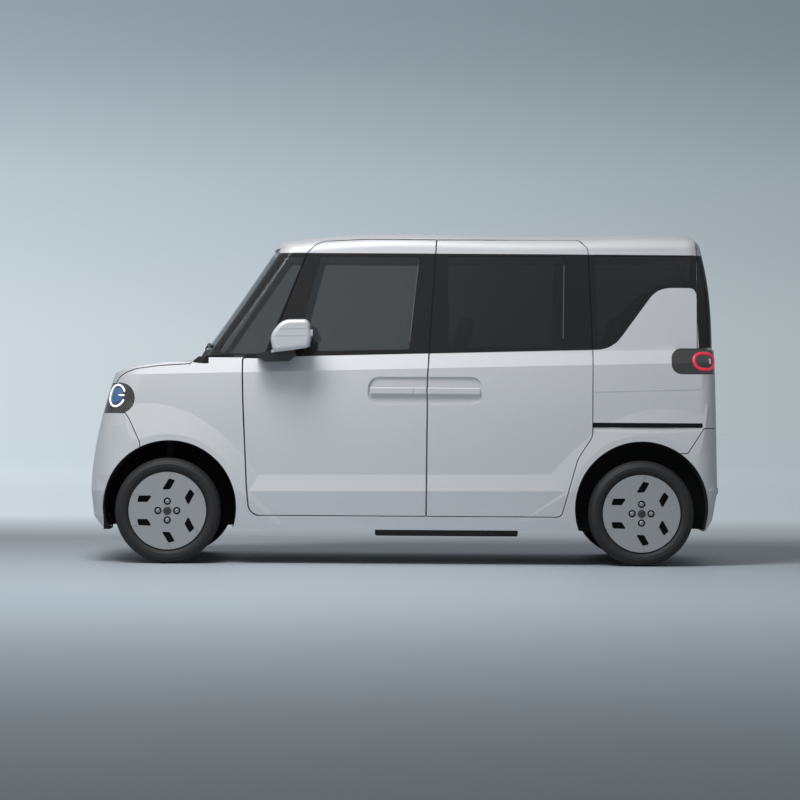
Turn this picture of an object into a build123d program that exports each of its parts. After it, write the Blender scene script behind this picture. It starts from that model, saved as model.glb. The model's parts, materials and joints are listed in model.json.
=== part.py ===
from build123d import *
import math
import os

# Kei car, a tall wagon with two hinged and two sliding side doors.
# Front towards -X, left side towards -Y, wheels standing on z = 0, all in millimetres.

# Overall
BODY_LENGTH = 3395
BODY_WIDTH = 1475
BODY_HEIGHT = 1790
WHEELBASE = 2520
AXLES_MIDDLE = 8
TRACK = 1305

# Walls and gaps
DOOR_THICK = 50
PILLAR_THICK = 25
RING_THICK = 46
RING_GAP = 7
ROOF_THICK = 32
PANEL_GAP = 5
HINGE_GAP = 8
GLASS_THICK = 5
GLASS_SET_BACK = 5

# Heights
SILL_LOW = 186
FLOOR_LOW = 200
FLOOR_THICK = 60
LOAD_FLOOR = 500
DOOR_LOW = 262
BELT = 1122
TAILGATE_LOW = 610

# Wheels
TYRE_RADIUS = 281
TYRE_WIDTH = 165
ARCH_RADIUS = 356
ARCH_LIP = 30
FRONT_ARCH_SHIFT, FRONT_ARCH_Z = 9, 300
REAR_ARCH_SHIFT, REAR_ARCH_Z = 2, 309
HUB_RADIUS = 60
HUB_BOSS_RADIUS = 75
BRAKE_RADIUS = 118
RIM_SEAT = 190
RIM_WIDTH = 114
COVER_FACE = 75
COVER_THICK = 8
COVER_RADIUS = 206
KNUCKLE_TOP = 436
STUD_CIRCLE = 100
STUDS = 4
RIM_THICK = 8
WEB_RADIUS, WEB_THICK = RIM_SEAT - 4, 12
NUT_WELL_RADIUS, NUT_WELL_DEPTH = 20, 22
NUT_RADIUS, NUT_HEIGHT = 12, 18
COVER_SLOT = [(152, 79), (81, 81), (106, 45), (161, 45)]
COVER_SLOT_ROUND = 6
COVER_SLOT_BANDS = (60, 180, 300)

# Half of the tyre's section: radius, half width
TYRE_SECTION = [
    (RIM_SEAT, RIM_WIDTH / 2), (RIM_SEAT + 21, RIM_WIDTH / 2 + 11), (TYRE_RADIUS - 50, TYRE_WIDTH / 2),
    (TYRE_RADIUS - 26, TYRE_WIDTH / 2 - 2), (TYRE_RADIUS - 7, TYRE_WIDTH / 2 - 12),
    (TYRE_RADIUS, TYRE_WIDTH / 2 - 32),
]
TYRE_SECTION_ROUND = 5

# Plan outlines of the lower body: how far each level lies inside the overall box
# height, tilt, side_in, front_in, rear_in, front_round, rear_round
LOWER_LEVELS = [
    (186, 0.0, 38, 57, 57, 170, 90),
    (248, 0.0, 24, 14, 25, 180, 90),
    (393, 0.3, 0, 0, 0, 190, 90),
    (480, 0.4, 12, 2, 3, 190, 90),
    (760, 1.0, 4, 45, 10, 190, 90),
    (1043, 1.55, 15, 121, 18, 170, 90),
    (BELT, 1.17, 41, 157, 22, 150, 80),
]
# height, side_in, front_in, rear_in, front_round, rear_round
UPPER_LEVELS = [
    (1040, 42, 532, 24, 90, 85),
    (1300, 74, 715, 34, 90, 85),
    (1500, 98, 853, 52, 90, 85),
    (1655, 116, 958, 82, 90, 85),
    (1830, 136, 1082, 130, 90, 85),
]
WIDEST_LEVEL = 393
LOWER_FRONT_BOW = 42
UPPER_FRONT_BOW = 78
REAR_BOW = 24
SIDE_BOW_FRONT = 30
SIDE_BOW_REAR = 20

# Flares round the wheel arches: axle, base radius, rise from base to lip
FLARE_FACE_IN = 1.5
FLARE_ROOT_Y = 600
FLARE_BOW = 3
FLARE_FRONT_ROUND = 245
FLARE_REAR_ROUND = 130
FRONT_FLARE_RADIUS, FRONT_FLARE_RISE = 600, 33.6
REAR_FLARE_RADIUS, REAR_FLARE_RISE = 650, 27

# Crown of the roof and of the bonnet: place along the car, height on the centre line
CROWN_RISE = 3.6
ROOF_CROWN = [
    (-1300, 1640), (-760, 1726), (-420, 1771), (300, BODY_HEIGHT - CROWN_RISE),
    (1100, BODY_HEIGHT - CROWN_RISE), (1720, 1760),
]
ROOF_CROWN_DROP = 80
ROOF_ROUND = 62
ROUND_LOSS = 0.7
BONNET_CROWN = [(-1680, 850), (-1590, 985), (-1535, 1023), (-1447, 1053), (-1322, 1075), (-1184, 1086),
                (-1000, 1094)]
BONNET_CROWN_DROP = 15

# Side outlines, (x, z, corner radius)
FRONT_DOOR = [
    (-855, 1001, 300), (-851, 860, 900), (-829, 414, 600), (-815, DOOR_LOW, 60),
    (119, DOOR_LOW, 4), (122, 1000, 900), (167, 1733, 4),
    (-200, 1734, 900), (-455, 1722, 120), (-519, 1660, 60), (-735, 1094, 30), (-855, 1094, 12),
]
FRONT_GLASS = [(-536, 1134, 14), (30, 1147, 14), (82, 1644, 14), (-449, 1644, 20), (-532, 1335, 200)]
SLIDING_DOOR = [
    (127, DOOR_LOW, 4), (130, 1000, 900), (175, 1733, 4), (930, 1736, 40), (977, 1690, 30),
    (1003, 1150, 300), (1003, 690, 60), (925, 570, 120), (840, DOOR_LOW, 30),
]
SLIDING_GLASS = [(235, 1156, 14), (850, 1166, 14), (856, 1648, 14), (232, 1646, 14)]
FRONT_QUARTER_GLASS = [(-1000, 1120, 20), (-745, 1120, 14), (-534, 1640, 12), (-640, 1640, 30)]
REAR_QUARTER_GLASS = [
    (1030, 1180, 20), (1096, 1194, 30), (1290, 1440, 60), (1350, 1500, 60), (1520, 1505, 20),
    (1530, 1655, 20), (1010, 1655, 20),
]
HEADLAMP = [(-1760, 797, 5), (-1431, 797, 80), (-1431, 960, 80), (-1760, 960, 5)]
BONNET_OUTLINE = [
    (-1800, 965, 5), (-1534, 965, 5), (-1517, 993, 30), (-1481, 1018, 60), (-1422, 1038, 90),
    (-1303, 1055, 200), (-1135, 1066, 3), (-1135, 1400, 5), (-1800, 1400, 5),
]
TAIL_LAMP = [(1424, 1024, 55), (1720, 1024, 5), (1720, 1162, 5), (1424, 1162, 55)]

FRONT_BUMPER = [
    (-1750, 150, 5), (-1750, 797, 5), (-1482, 797, 5), (-1461, 766, 5), (-1404, 644, 5), (-1404, 150, 5),
]
REAR_BUMPER = [
    (1440, 150, 5), (1440, 600, 5), (1512, 600, 10), (1600, 734, 10), (1750, 734, 5), (1750, 150, 5),
]
WINDSCREEN_LOW, WINDSCREEN_HIGH = 1140, 1668
WINDSCREEN_FOOT, WINDSCREEN_HEAD = 612, 535
REAR_WINDOW_LOW, REAR_WINDOW_HIGH = 1190, 1650
REAR_WINDOW_FOOT, REAR_WINDOW_HEAD = 560, 520

# Handle hollow across the seam of the two doors, and the bars in it
HANDLE_HOLLOW = [(-191, 850, 62), (418, 853, 62), (418, 1003, 62), (-191, 1000, 62)]
HANDLE_DEPTH = 24
HANDLE_BARS = [(-180, 121, (-160, 84)), (127, 408, (146, 372))]
HANDLE_LOW, HANDLE_HIGH = 908, 944
HANDLE_OUT = 736
HANDLE_THICK = 15
HANDLE_POST = 24
HANDLE_ROUND = 6

# Slide rail slot behind the sliding door, and the creases of the rear quarter, (y, z) and (x, z)
RAIL_SLOT = [(-780, 763), (-704, 763), (-704, 740), (-742, 704), (-780, 704)]
RAIL_SLOT_END = 1589
CREASE = [(990, 924), (1578, 942), (1597, 962), (1597, 1030)]
CREASE_WIDTH = 3
CREASE_DEPTH = 3
CREASE_ROUND = 14

# Mirrors, (x, z, corner radius)
MIRROR_SHELL = [
    (-688, 1127, 26), (-708, 1215, 88), (-640, 1297, 88), (-500, 1300, 30), (-490, 1200, 80),
    (-500, 1152, 30), (-590, 1138, 60),
]
MIRROR_FOOT = [(-790, 1112, 6), (-735, 1074, 20), (-612, 1078, 20), (-570, 1110, 10), (-580, 1140, 6),
               (-690, 1140, 6)]
MIRROR_OUT, MIRROR_IN = 930, 748
MIRROR_ROUND = 22
MIRROR_FOOT_OUT, MIRROR_FOOT_IN = 845, 640
MIRROR_GAP = 6

# Front and rear openings in the skin
INTAKE_HALF_WIDTH = 400
INTAKE_LOW, INTAKE_HIGH = 268, 404
INTAKE_ROUND = 30
INTAKE_MESH_X = -1668
INTAKE_MESH_THICK = 16
GRILLE_SLOTS = [(826, -1612), (861, -1603), (896, -1594), (931, -1586)]
GRILLE_SLOT_HEIGHT = 18
GRILLE_SLOT_HALF_WIDTH = 385
PLATE_HALF_WIDTH = 185
PLATE_LOW, PLATE_HIGH = 745, 925
PLATE_FLOOR_X = 1669

# Doors, lids and steering
BONNET_HALF_WIDTH = 618
BONNET_REAR = -1135
BONNET_LIP = 965
BONNET_THICK = 28
TAILGATE_HALF_WIDTH = 640
TAILGATE_TOP = 1566

TAIL_LAMP_TOP = 1166
GRILLE_HALF_WIDTH = 430
GRILLE_LOW = 797
FENDER_REAR = -764
HINGE_POST_IN = 98
HINGE_TOP_IN, HINGE_TOP_Z = 116, 1018
HINGE_TOP_REAR, HINGE_TOP_HIGH = -747, 1099
COWL_FRONT = -1127
COWL_TRAY = 1050
SCREEN_FOOT_X = -1098
# Side outline of the cowl, (x, z, corner radius)
COWL = [
    (COWL_FRONT, COWL_TRAY, 3), (COWL_FRONT, 1082, 3), (SCREEN_FOOT_X, 1104, 3), (-1010, 1104, 3),
    (-1010, COWL_TRAY, 3),
]
TRAY_FRONT_IN, TRAY_THICK = 9, 30
NOSE_REAR, NOSE_LOW = -1040, 700
GRILLE_REAR = -1000
CROWN_OVERHANG, CROWN_FOOT = 30, 200
SCREEN_ROUND = 30
SCREEN_CUT_FRONT, SCREEN_CUT_REAR = -1500, -450
REAR_WINDOW_ROUND = 40
REAR_CUT_FRONT, REAR_CUT_REAR = 1500, 1900
TAILGATE_DEPTH = 200
TAILGATE_ROOF_GAP = PANEL_GAP + 3
RAIL_SLOT_ROUND = 3
SIDE_FRAME_IN = 470
HINGE_POST_HIGH = BELT - 14
ROOM_SIDE_THICK, ROOM_ROOF_THICK = RING_THICK - 12, 30
PANE_ROOF_IN = 12
ROOF_SEAM = 1690
DOOR_TOP_IN = 548
RING_LAP = 48

# Chassis
BULKHEAD_X = -878
BULKHEAD_THICK = 28
COWL_HALF_WIDTH = 590
RAIL_Y = 350
RAIL_Z = 370
RAIL_SIZE = 60
KINGPIN_Y = 600
ARM_TOP = 158
STRUT_Y = 500
STRUT_RADIUS = 24
STRUT_TOP = 905
HUB_FACE = 12
AXLE_TUBE_RADIUS = 33
LINER_THICK = 6
FLAP_FRONT, FLAP_REAR = -1597, -1566
FLAP_OUT, FLAP_IN = 640, 420
FLAP_LOW, FLAP_HIGH = 178, 262
FRONT_LINER_IN, LINER_OUT = 405, 684
LINER_FOOT = SILL_LOW + 10
STRUT_HOLE_RADIUS, STRUT_HOLE_Z, STRUT_HOLE_HEIGHT = 62, 600, 400
AXLE_HOLE_RADIUS = AXLE_TUBE_RADIUS + 22
SLIDE_REAR_X = 985
FIT = 0.3

RAIL_FRONT = -1560
CROSS_FRONT, CROSS_REAR, CROSS_HALF = -1590, -1560, 60
ENGINE_FRONT, ENGINE_REAR = -1500, -1000
ENGINE_LOW, ENGINE_HIGH = 230, 820
TOWER_HALF, TOWER_THICK, TOWER_CAP, TOWER_REACH = 70, 14, 20, 60
ARM_HALF, ARM_THICK, ARM_END = 20, 18, 4
POST_HALF = 30
BALL_IN, BALL_RAISE = 10, 20
BALL_RADIUS, BALL_HEIGHT = 10, 40
HUB_IN = 570
DISC_OUT, DISC_IN = 625, 606

# Rear axle, tank and exhaust
DRUM_IN, DRUM_RADIUS = 585, 95
TRAILING_ARM_OUT, TRAILING_ARM_IN = 470, 420
TRAILING_ARM_HALF = 25
SPRING_Y, SPRING_RADIUS = 445, 48
TANK_ROUND = 12
EXHAUST_Y = 330
# Pipe, silencer and tail pipe: middle x, z, radius, length
EXHAUST_TUBES = [(265, 168, 22, 2130), (1452, 220, 75, 256), (1583, 220, 20, 18)]
HANGER_HALF = 8

# Inside
CABIN_HALF_WIDTH = 622
WHEELHOUSE_HALF_WIDTH = 540
LOAD_STEP = 860
STEP_THICK = 40
LOAD_REAR_IN = 105
LOAD_FLOOR_LOW = LOAD_FLOOR - 50
TAIL_PANEL_HALF_WIDTH = 500
TAIL_PANEL_LOW = LOAD_FLOOR - 120
SEAT_WIDTH = 470
SEAT_LENGTH = 480
CUSHION_THICK = 130
SEAT_BASE_END = 120
FRONT_SEAT_LOW = 535
REAR_SEAT_LOW = 560
SEAT_BACK = 600
SEAT_SIDE = 310
FRONT_SEAT_X = 110
REAR_SEAT_X = 960

SEAT_ROUND = 35
SEAT_BASE_START, SEAT_BASE_HALF_WIDTH = 40, 190
BACK_THICK = 110
BACK_SHIFT, BACK_RAISE = 99.7, 20
BACK_LEAN = 14
HEAD_REST_FRONT, HEAD_REST_REAR = 95, 5
HEAD_REST_HALF_WIDTH = 125
HEAD_REST_LOW, HEAD_REST_HIGH = 12, 190
POST_X, POST_SIDE, POST_RAISE = -50, 60, 10
POST_RADIUS, POST_LENGTH = 6, 60
DASH_FRONT, DASH_REAR = -1035, -620
DASH_LOW, DASH_HIGH = 760, 1092
DASH_HALF_WIDTH, DASH_TOP_HALF_WIDTH = 580, 540
DASH_ROUND = 12
COLUMN_X, COLUMN_Z, COLUMN_TILT = -560, 905, 65
COLUMN_RADIUS, COLUMN_LENGTH = 22, 240
STEERING_X, STEERING_Z = -470, 950
STEERING_RADIUS, STEERING_ROD_RADIUS = 180, 14
STEERING_SPOKE = (30, 350, 16)
STEERING_BOSS_RADIUS, STEERING_BOSS_THICK = 60, 30

# Small amounts
SMALLEST_ROUND = 20
OVERLAP = 1
CUT_PAST = 5

HALF_WIDTH = BODY_WIDTH / 2
FRONT_END = -BODY_LENGTH / 2
REAR_END = BODY_LENGTH / 2
FRONT_AXLE = AXLES_MIDDLE - WHEELBASE / 2
REAR_AXLE = AXLES_MIDDLE + WHEELBASE / 2
FRONT_ARCH = (FRONT_AXLE + FRONT_ARCH_SHIFT, FRONT_ARCH_Z)
REAR_ARCH = (REAR_AXLE + REAR_ARCH_SHIFT, REAR_ARCH_Z)
WHEEL_Y = TRACK / 2
RAIL_OUT, RAIL_IN = RAIL_Y + RAIL_SIZE / 2, RAIL_Y - RAIL_SIZE / 2
RAIL_LOW, RAIL_HIGH = RAIL_Z - RAIL_SIZE / 2, RAIL_Z + RAIL_SIZE / 2
TOWER_TOP = STRUT_TOP + TOWER_CAP
ARM_LOW = ARM_TOP - ARM_THICK

# Left strut tower, tower cap, track arm and arm post: x from the front axle, y, z
FRONT_BLOCKS = [
    (-TOWER_HALF, TOWER_HALF, -RAIL_OUT, -RAIL_OUT + TOWER_THICK, RAIL_Z, TOWER_TOP),
    (-TOWER_HALF, TOWER_HALF, -STRUT_Y - TOWER_REACH, -RAIL_OUT + TOWER_THICK, STRUT_TOP, TOWER_TOP),
    (-ARM_HALF, ARM_HALF, -KINGPIN_Y - ARM_END, -RAIL_Y, ARM_LOW, ARM_TOP),
    (-POST_HALF, POST_HALF, -RAIL_OUT, -RAIL_IN, ARM_LOW, RAIL_Z),
]

# Left knuckle plate, strut arm, ball lug, calliper and its bridge: x from the front axle, y, z
KNUCKLE_BLOCKS = [
    (-38, 38, -585, -560, ARM_TOP + 20, 400),
    (-26, 26, -585, -STRUT_Y + 26, 385, KNUCKLE_TOP),
    (-16, 16, -KINGPIN_Y + 2, -570, ARM_TOP + 22, ARM_TOP + 45),
    (70, 125, -632, -575, TYRE_RADIUS - 50, TYRE_RADIUS + 50),
    (20, 80, -585, -575, TYRE_RADIUS - 30, TYRE_RADIUS + 30),
]

# Fuel tank, x, y, z, and exhaust hangers, x and z
TANK = (-150, 620, -480, 60, 145, FLOOR_LOW)
EXHAUST_HANGERS = [(-420, -400, 180, FLOOR_LOW - FIT), (1440, 1460, 280, LOAD_FLOOR_LOW - FIT)]
FAR = 3000

PARTS = {}


def box(x_low, x_high, y_low, y_high, z_low, z_high):
    size = Box(x_high - x_low, y_high - y_low, z_high - z_low)
    return Pos((x_low + x_high) / 2, (y_low + y_high) / 2, (z_low + z_high) / 2) * size


def rounded_box(x_low, x_high, y_low, y_high, z_low, z_high, radius):
    body = box(x_low, x_high, y_low, y_high, z_low, z_high)
    return fillet(body.edges(), radius)


def rod(x, y_low, y_high, z, radius):
    return Pos(x, (y_low + y_high) / 2, z) * Rot(90, 0, 0) * Cylinder(radius, y_high - y_low)


def side_face(outline, grow=0):
    points = [(x, z) for x, z, radius in outline]
    line = FilletPolyline(*points, radius=[radius for x, z, radius in outline], close=True)
    face = make_face(line)
    if grow:
        face = offset(face, grow, kind=Kind.INTERSECTION)
    return Plane.XZ * face


def side_prism(outline, y_low, y_high, grow=0):
    face = side_face(outline, grow)
    return Pos(0, y_low, 0) * extrude(face, y_high - y_low, dir=(0, 1, 0))


def left_prism(outline, grow=0):
    return side_prism(outline, -FAR / 2, -CABIN_HALF_WIDTH / 2, grow)


def door_prism(outline, grow=0):
    return side_prism(outline, -FAR / 2, -DOOR_TOP_IN + grow, grow)


def mirrored(shape):
    return mirror(shape, about=Plane.XZ)


def both_sides(shape):
    return [shape, mirrored(shape)]


def level_face(height, tilt, side_in, front_in, rear_in, front_round, rear_round, front_bow, inset,
               side_bows=(SIDE_BOW_FRONT, SIDE_BOW_REAR)):
    middle = HALF_WIDTH - side_in - inset
    front_half = middle - side_bows[0]
    rear_half = middle - side_bows[1]
    nose = FRONT_END + front_in + inset
    tail = REAR_END - rear_in - inset
    front = nose + front_bow
    rear = tail - REAR_BOW
    half_way = (front + rear) / 2
    with BuildSketch() as sketch:
        with BuildLine():
            ThreePointArc((front, front_half), (nose, 0), (front, -front_half))
            ThreePointArc((front, -front_half), (half_way, -middle), (rear, -rear_half))
            ThreePointArc((rear, -rear_half), (tail, 0), (rear, rear_half))
            ThreePointArc((rear, rear_half), (half_way, middle), (front, front_half))
        make_face()
        fillet([v for v in sketch.vertices() if v.X < half_way], max(front_round - inset, SMALLEST_ROUND))
        fillet([v for v in sketch.vertices() if abs(v.X - rear) < OVERLAP], max(rear_round - inset,
                                                                                SMALLEST_ROUND))
    return Pos(0, 0, height) * Rot(0, -tilt, 0) * sketch.sketch.face()


def lower_body(inset=0):
    faces = []
    for height, tilt, side_in, front_in, rear_in, front_round, rear_round in LOWER_LEVELS:
        faces.append(level_face(height, tilt, side_in, front_in, rear_in, front_round, rear_round,
                                LOWER_FRONT_BOW, inset))
    skirt = loft(faces[:4], ruled=True)
    flank = loft(faces[3:6], ruled=False)
    shoulder = loft(faces[5:], ruled=True)
    body = skirt + flank + shoulder
    front_top = box(-FAR, NOSE_REAR, -FAR, FAR, NOSE_LOW, FAR) - bonnet_block(inset)
    return body - front_top


def flare_limit():
    faces = []
    for height, tilt, side_in, front_in, rear_in, front_round, rear_round in LOWER_LEVELS[:6]:
        faces.append(level_face(height, tilt, side_in if height < WIDEST_LEVEL else 0, front_in, rear_in,
                                FLARE_FRONT_ROUND, FLARE_REAR_ROUND, LOWER_FRONT_BOW, 0,
                                (FLARE_BOW, FLARE_BOW)))
    return loft(faces, ruled=True)


def flare(centre, base_radius, rise):
    x, z = centre
    crest = -HALF_WIDTH + FLARE_FACE_IN
    cone = Cone(base_radius, ARCH_RADIUS + ARCH_LIP, rise)
    root = rod(x, crest + rise, -FLARE_ROOT_Y, z, base_radius)
    return root + Pos(x, crest + rise / 2, z) * Rot(90, 0, 0) * cone


def flared_body():
    limit = flare_limit()
    body = lower_body()
    for centre, radius, rise in ((FRONT_ARCH, FRONT_FLARE_RADIUS, FRONT_FLARE_RISE),
                                 (REAR_ARCH, REAR_FLARE_RADIUS, REAR_FLARE_RISE)):
        bulge = flare(centre, radius, rise) & limit
        body = body + bulge + mirrored(bulge)
    return body


def crown_block(table, drop, lower):
    faces = []
    for x, height in table:
        top = height - lower
        half = HALF_WIDTH + CROWN_OVERHANG
        with BuildSketch(Plane.YZ.offset(x)) as sketch:
            with BuildLine():
                ThreePointArc((-half, top - drop), (0, top), (half, top - drop))
                Polyline((half, top - drop), (half, CROWN_FOOT), (-half, CROWN_FOOT), (-half, top - drop))
            make_face()
        faces.append(sketch.sketch.face())
    return loft(faces)


def bonnet_block(inset):
    return crown_block(BONNET_CROWN, BONNET_CROWN_DROP, inset)


def upper_body(inset=0, roof_inset=0):
    faces = []
    for height, side_in, front_in, rear_in, front_round, rear_round in UPPER_LEVELS:
        faces.append(level_face(height, 0, side_in, front_in, rear_in, front_round, rear_round,
                                UPPER_FRONT_BOW, inset))
    sides = loft(faces)
    house = sides & crown_block(ROOF_CROWN, ROOF_CROWN_DROP, roof_inset)
    top = house.faces().sort_by(Axis.Z)[-1]
    return fillet(top.edges(), ROOF_ROUND - ROUND_LOSS * inset)


def write(name, *solids):
    PARTS[name] = Compound(children=[s for shape in solids for s in shape.solids()])


LOWER = flared_body()
UPPER = upper_body()
LOWER_INNER = lower_body(DOOR_THICK)
UPPER_INNER = upper_body(PILLAR_THICK, ROOF_THICK)
UPPER_RING = upper_body(PILLAR_THICK + FIT, ROOF_THICK + FIT)
LOWER_SEAT = lower_body(DOOR_THICK + RING_GAP)
UPPER_SEAT = upper_body(PILLAR_THICK + RING_GAP, ROOF_THICK + RING_GAP)
LOWER_ROOM = lower_body(DOOR_THICK + RING_GAP + RING_THICK)
UPPER_ROOM = upper_body(PILLAR_THICK + RING_GAP + ROOM_SIDE_THICK, ROOF_THICK + RING_GAP + ROOM_ROOF_THICK)
LOWER_SKIN = LOWER - LOWER_INNER
UPPER_SKIN = UPPER - UPPER_INNER
PANE_SKIN = upper_body(GLASS_SET_BACK, GLASS_SET_BACK) - upper_body(GLASS_SET_BACK + GLASS_THICK,
                                                                    PANE_ROOF_IN)


def left_half(shape):
    return shape & box(-FAR, FAR, -FAR, -CABIN_HALF_WIDTH / 2, 0, FAR)


LEFT_LOWER = left_half(LOWER_SKIN)
LEFT_UPPER = left_half(UPPER_SKIN) - LOWER
LEFT_PANE = left_half(PANE_SKIN)


def arch(centre, radius, y_low=-FAR, y_high=-CABIN_HALF_WIDTH / 2):
    x, z = centre
    return rod(x, y_low, y_high, z, radius)


def across_prism(points, radius, x_low, x_high):
    face = make_face(FilletPolyline(*points, radius=radius, close=True))
    return Pos(x_low, 0, 0) * extrude(Plane.YZ * face, x_high - x_low, dir=(1, 0, 0))


def windscreen_cutter(grow=0):
    low, high = WINDSCREEN_LOW - grow, WINDSCREEN_HIGH + grow
    foot, head = WINDSCREEN_FOOT + grow, WINDSCREEN_HEAD + grow
    return across_prism([(-foot, low), (-head, high), (head, high), (foot, low)],
                        SCREEN_ROUND, SCREEN_CUT_FRONT, SCREEN_CUT_REAR)


def rear_window_cutter():
    foot, head = REAR_WINDOW_FOOT, REAR_WINDOW_HEAD
    low, high = REAR_WINDOW_LOW, REAR_WINDOW_HIGH
    return across_prism([(-foot, low), (-head, high), (head, high), (foot, low)],
                        REAR_WINDOW_ROUND, REAR_CUT_FRONT, REAR_CUT_REAR)


def tailgate_cutter(grow=0):
    upper = box(TAILGATE_TOP - grow, FAR, -FAR, FAR, TAIL_LAMP_TOP - grow, FAR)
    half = TAILGATE_HALF_WIDTH + grow
    lower = box(REAR_END - TAILGATE_DEPTH, FAR, -half, half, TAILGATE_LOW - grow, TAIL_LAMP_TOP + OVERLAP)
    return upper + lower


def bonnet_cutter(grow=0):
    return side_prism(BONNET_OUTLINE, -FAR, FAR, grow)


def front_bumper_cutter(grow=0):
    return side_prism(FRONT_BUMPER, -FAR, FAR, grow)


def rear_bumper_cutter(grow=0):
    return side_prism(REAR_BUMPER, -FAR, FAR, grow)


def headlamp_cutter(grow=0):
    return side_prism(HEADLAMP, -FAR, -GRILLE_HALF_WIDTH + grow, grow)


def tail_lamp_cutter(grow=0):
    return side_prism(TAIL_LAMP, -FAR, -TAILGATE_HALF_WIDTH - PANEL_GAP, grow)


def handle_bar(x_low, x_high, posts):
    bar = rounded_box(x_low, x_high, -HANDLE_OUT, -HANDLE_OUT + HANDLE_THICK, HANDLE_LOW, HANDLE_HIGH,
                      HANDLE_ROUND)
    for x in posts:
        bar += box(x, x + HANDLE_POST, -HANDLE_OUT + HANDLE_THICK / 2, -HALF_WIDTH + DOOR_THICK,
                   HANDLE_LOW + HANDLE_ROUND, HANDLE_HIGH - HANDLE_ROUND)
    return bar


def door_panel(outline, window, handle):
    shape = door_prism(outline)
    panel = (LEFT_LOWER & shape) + (LEFT_UPPER & shape)
    panel -= side_prism(HANDLE_HOLLOW, -FAR, -HALF_WIDTH + HANDLE_DEPTH)
    return panel + handle_bar(*handle) - left_prism(window)


def side_frame():
    side = left_half(LOWER - LOWER_ROOM) + (left_half(UPPER - UPPER_ROOM) - LOWER)
    for outline in (FRONT_DOOR, SLIDING_DOOR):
        side -= door_prism(outline, PANEL_GAP) - LOWER_SEAT - (UPPER_SEAT - LOWER)
        side -= left_prism(outline, -RING_LAP)
    for outline in (FRONT_QUARTER_GLASS, REAR_QUARTER_GLASS):
        side -= left_prism(outline)
    side -= box(-FAR, FENDER_REAR + FIT, -FAR, -HALF_WIDTH + HINGE_POST_IN, 0, HINGE_POST_HIGH)
    side -= box(-FAR, FENDER_REAR + FIT, -FAR, -HALF_WIDTH + HINGE_TOP_IN, HINGE_TOP_Z, HINGE_POST_HIGH)
    side -= box(-FAR, HINGE_TOP_REAR, -FAR, -HALF_WIDTH + HINGE_TOP_IN, HINGE_TOP_Z, HINGE_TOP_HIGH)
    side -= box(-FAR, BULKHEAD_X + BULKHEAD_THICK + OVERLAP, -FAR, 0, 0, HINGE_POST_HIGH)
    side -= box(-FAR, BULKHEAD_X + BULKHEAD_THICK + OVERLAP, -COWL_HALF_WIDTH - OVERLAP, 0, 0,
                WINDSCREEN_LOW)
    side -= box(-FAR, FAR, -FAR, 0, ROOF_SEAM, FAR) - UPPER_RING
    side -= box(-FAR, FAR, -SIDE_FRAME_IN, 0, 0, FAR)
    side -= windscreen_cutter()
    side -= tailgate_cutter(PANEL_GAP)
    side -= rear_bumper_cutter(PANEL_GAP)
    side -= tail_lamp_cutter(FIT)
    side -= across_prism(RAIL_SLOT, RAIL_SLOT_ROUND, SLIDE_REAR_X, RAIL_SLOT_END)
    side -= crease()
    side -= arch(FRONT_ARCH, ARCH_RADIUS)
    side -= arch(REAR_ARCH, ARCH_RADIUS)
    return side


def crease():
    line = FilletPolyline(*CREASE, radius=CREASE_ROUND)
    face = Plane.XZ * trace(line, CREASE_WIDTH)
    groove = Pos(0, -FAR, 0) * extrude(face, FAR - CABIN_HALF_WIDTH, dir=(0, 1, 0))
    return groove & (LOWER - lower_body(CREASE_DEPTH))


def fender():
    panel = LEFT_LOWER & box(-FAR, FENDER_REAR, -FAR, 0, SILL_LOW, FAR)
    panel -= box(BONNET_REAR - OVERLAP, FAR, -BONNET_HALF_WIDTH - PANEL_GAP, 0, 0, FAR)
    panel -= front_bumper_cutter(PANEL_GAP)
    panel -= headlamp_cutter(FIT)
    panel -= bonnet_cutter(PANEL_GAP)
    panel -= arch(FRONT_ARCH, ARCH_RADIUS)
    panel -= box(-FAR, FAR, -GRILLE_HALF_WIDTH - OVERLAP, 0, 0, FAR)
    panel -= box(BULKHEAD_X, FAR, -HALF_WIDTH + HINGE_POST_IN - FIT, 0, 0, FAR)
    panel -= left_prism(FRONT_DOOR, HINGE_GAP)
    return panel


def both_arches(centre):
    shape = arch(centre, ARCH_RADIUS)
    return shape + mirrored(shape)


def build_sides():
    side = side_frame()
    write("side_frames", *both_sides(side))
    write("front_fenders", *both_sides(fender()))


def build_roof():
    roof = UPPER_SKIN & box(-FAR, FAR, -FAR, FAR, ROOF_SEAM + FIT, FAR)
    for outline in (FRONT_DOOR, SLIDING_DOOR):
        roof -= door_prism(outline, PANEL_GAP)
        roof -= mirrored(door_prism(outline, PANEL_GAP))
    roof -= tailgate_cutter(TAILGATE_ROOF_GAP)
    write("roof_panel", roof)


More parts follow.
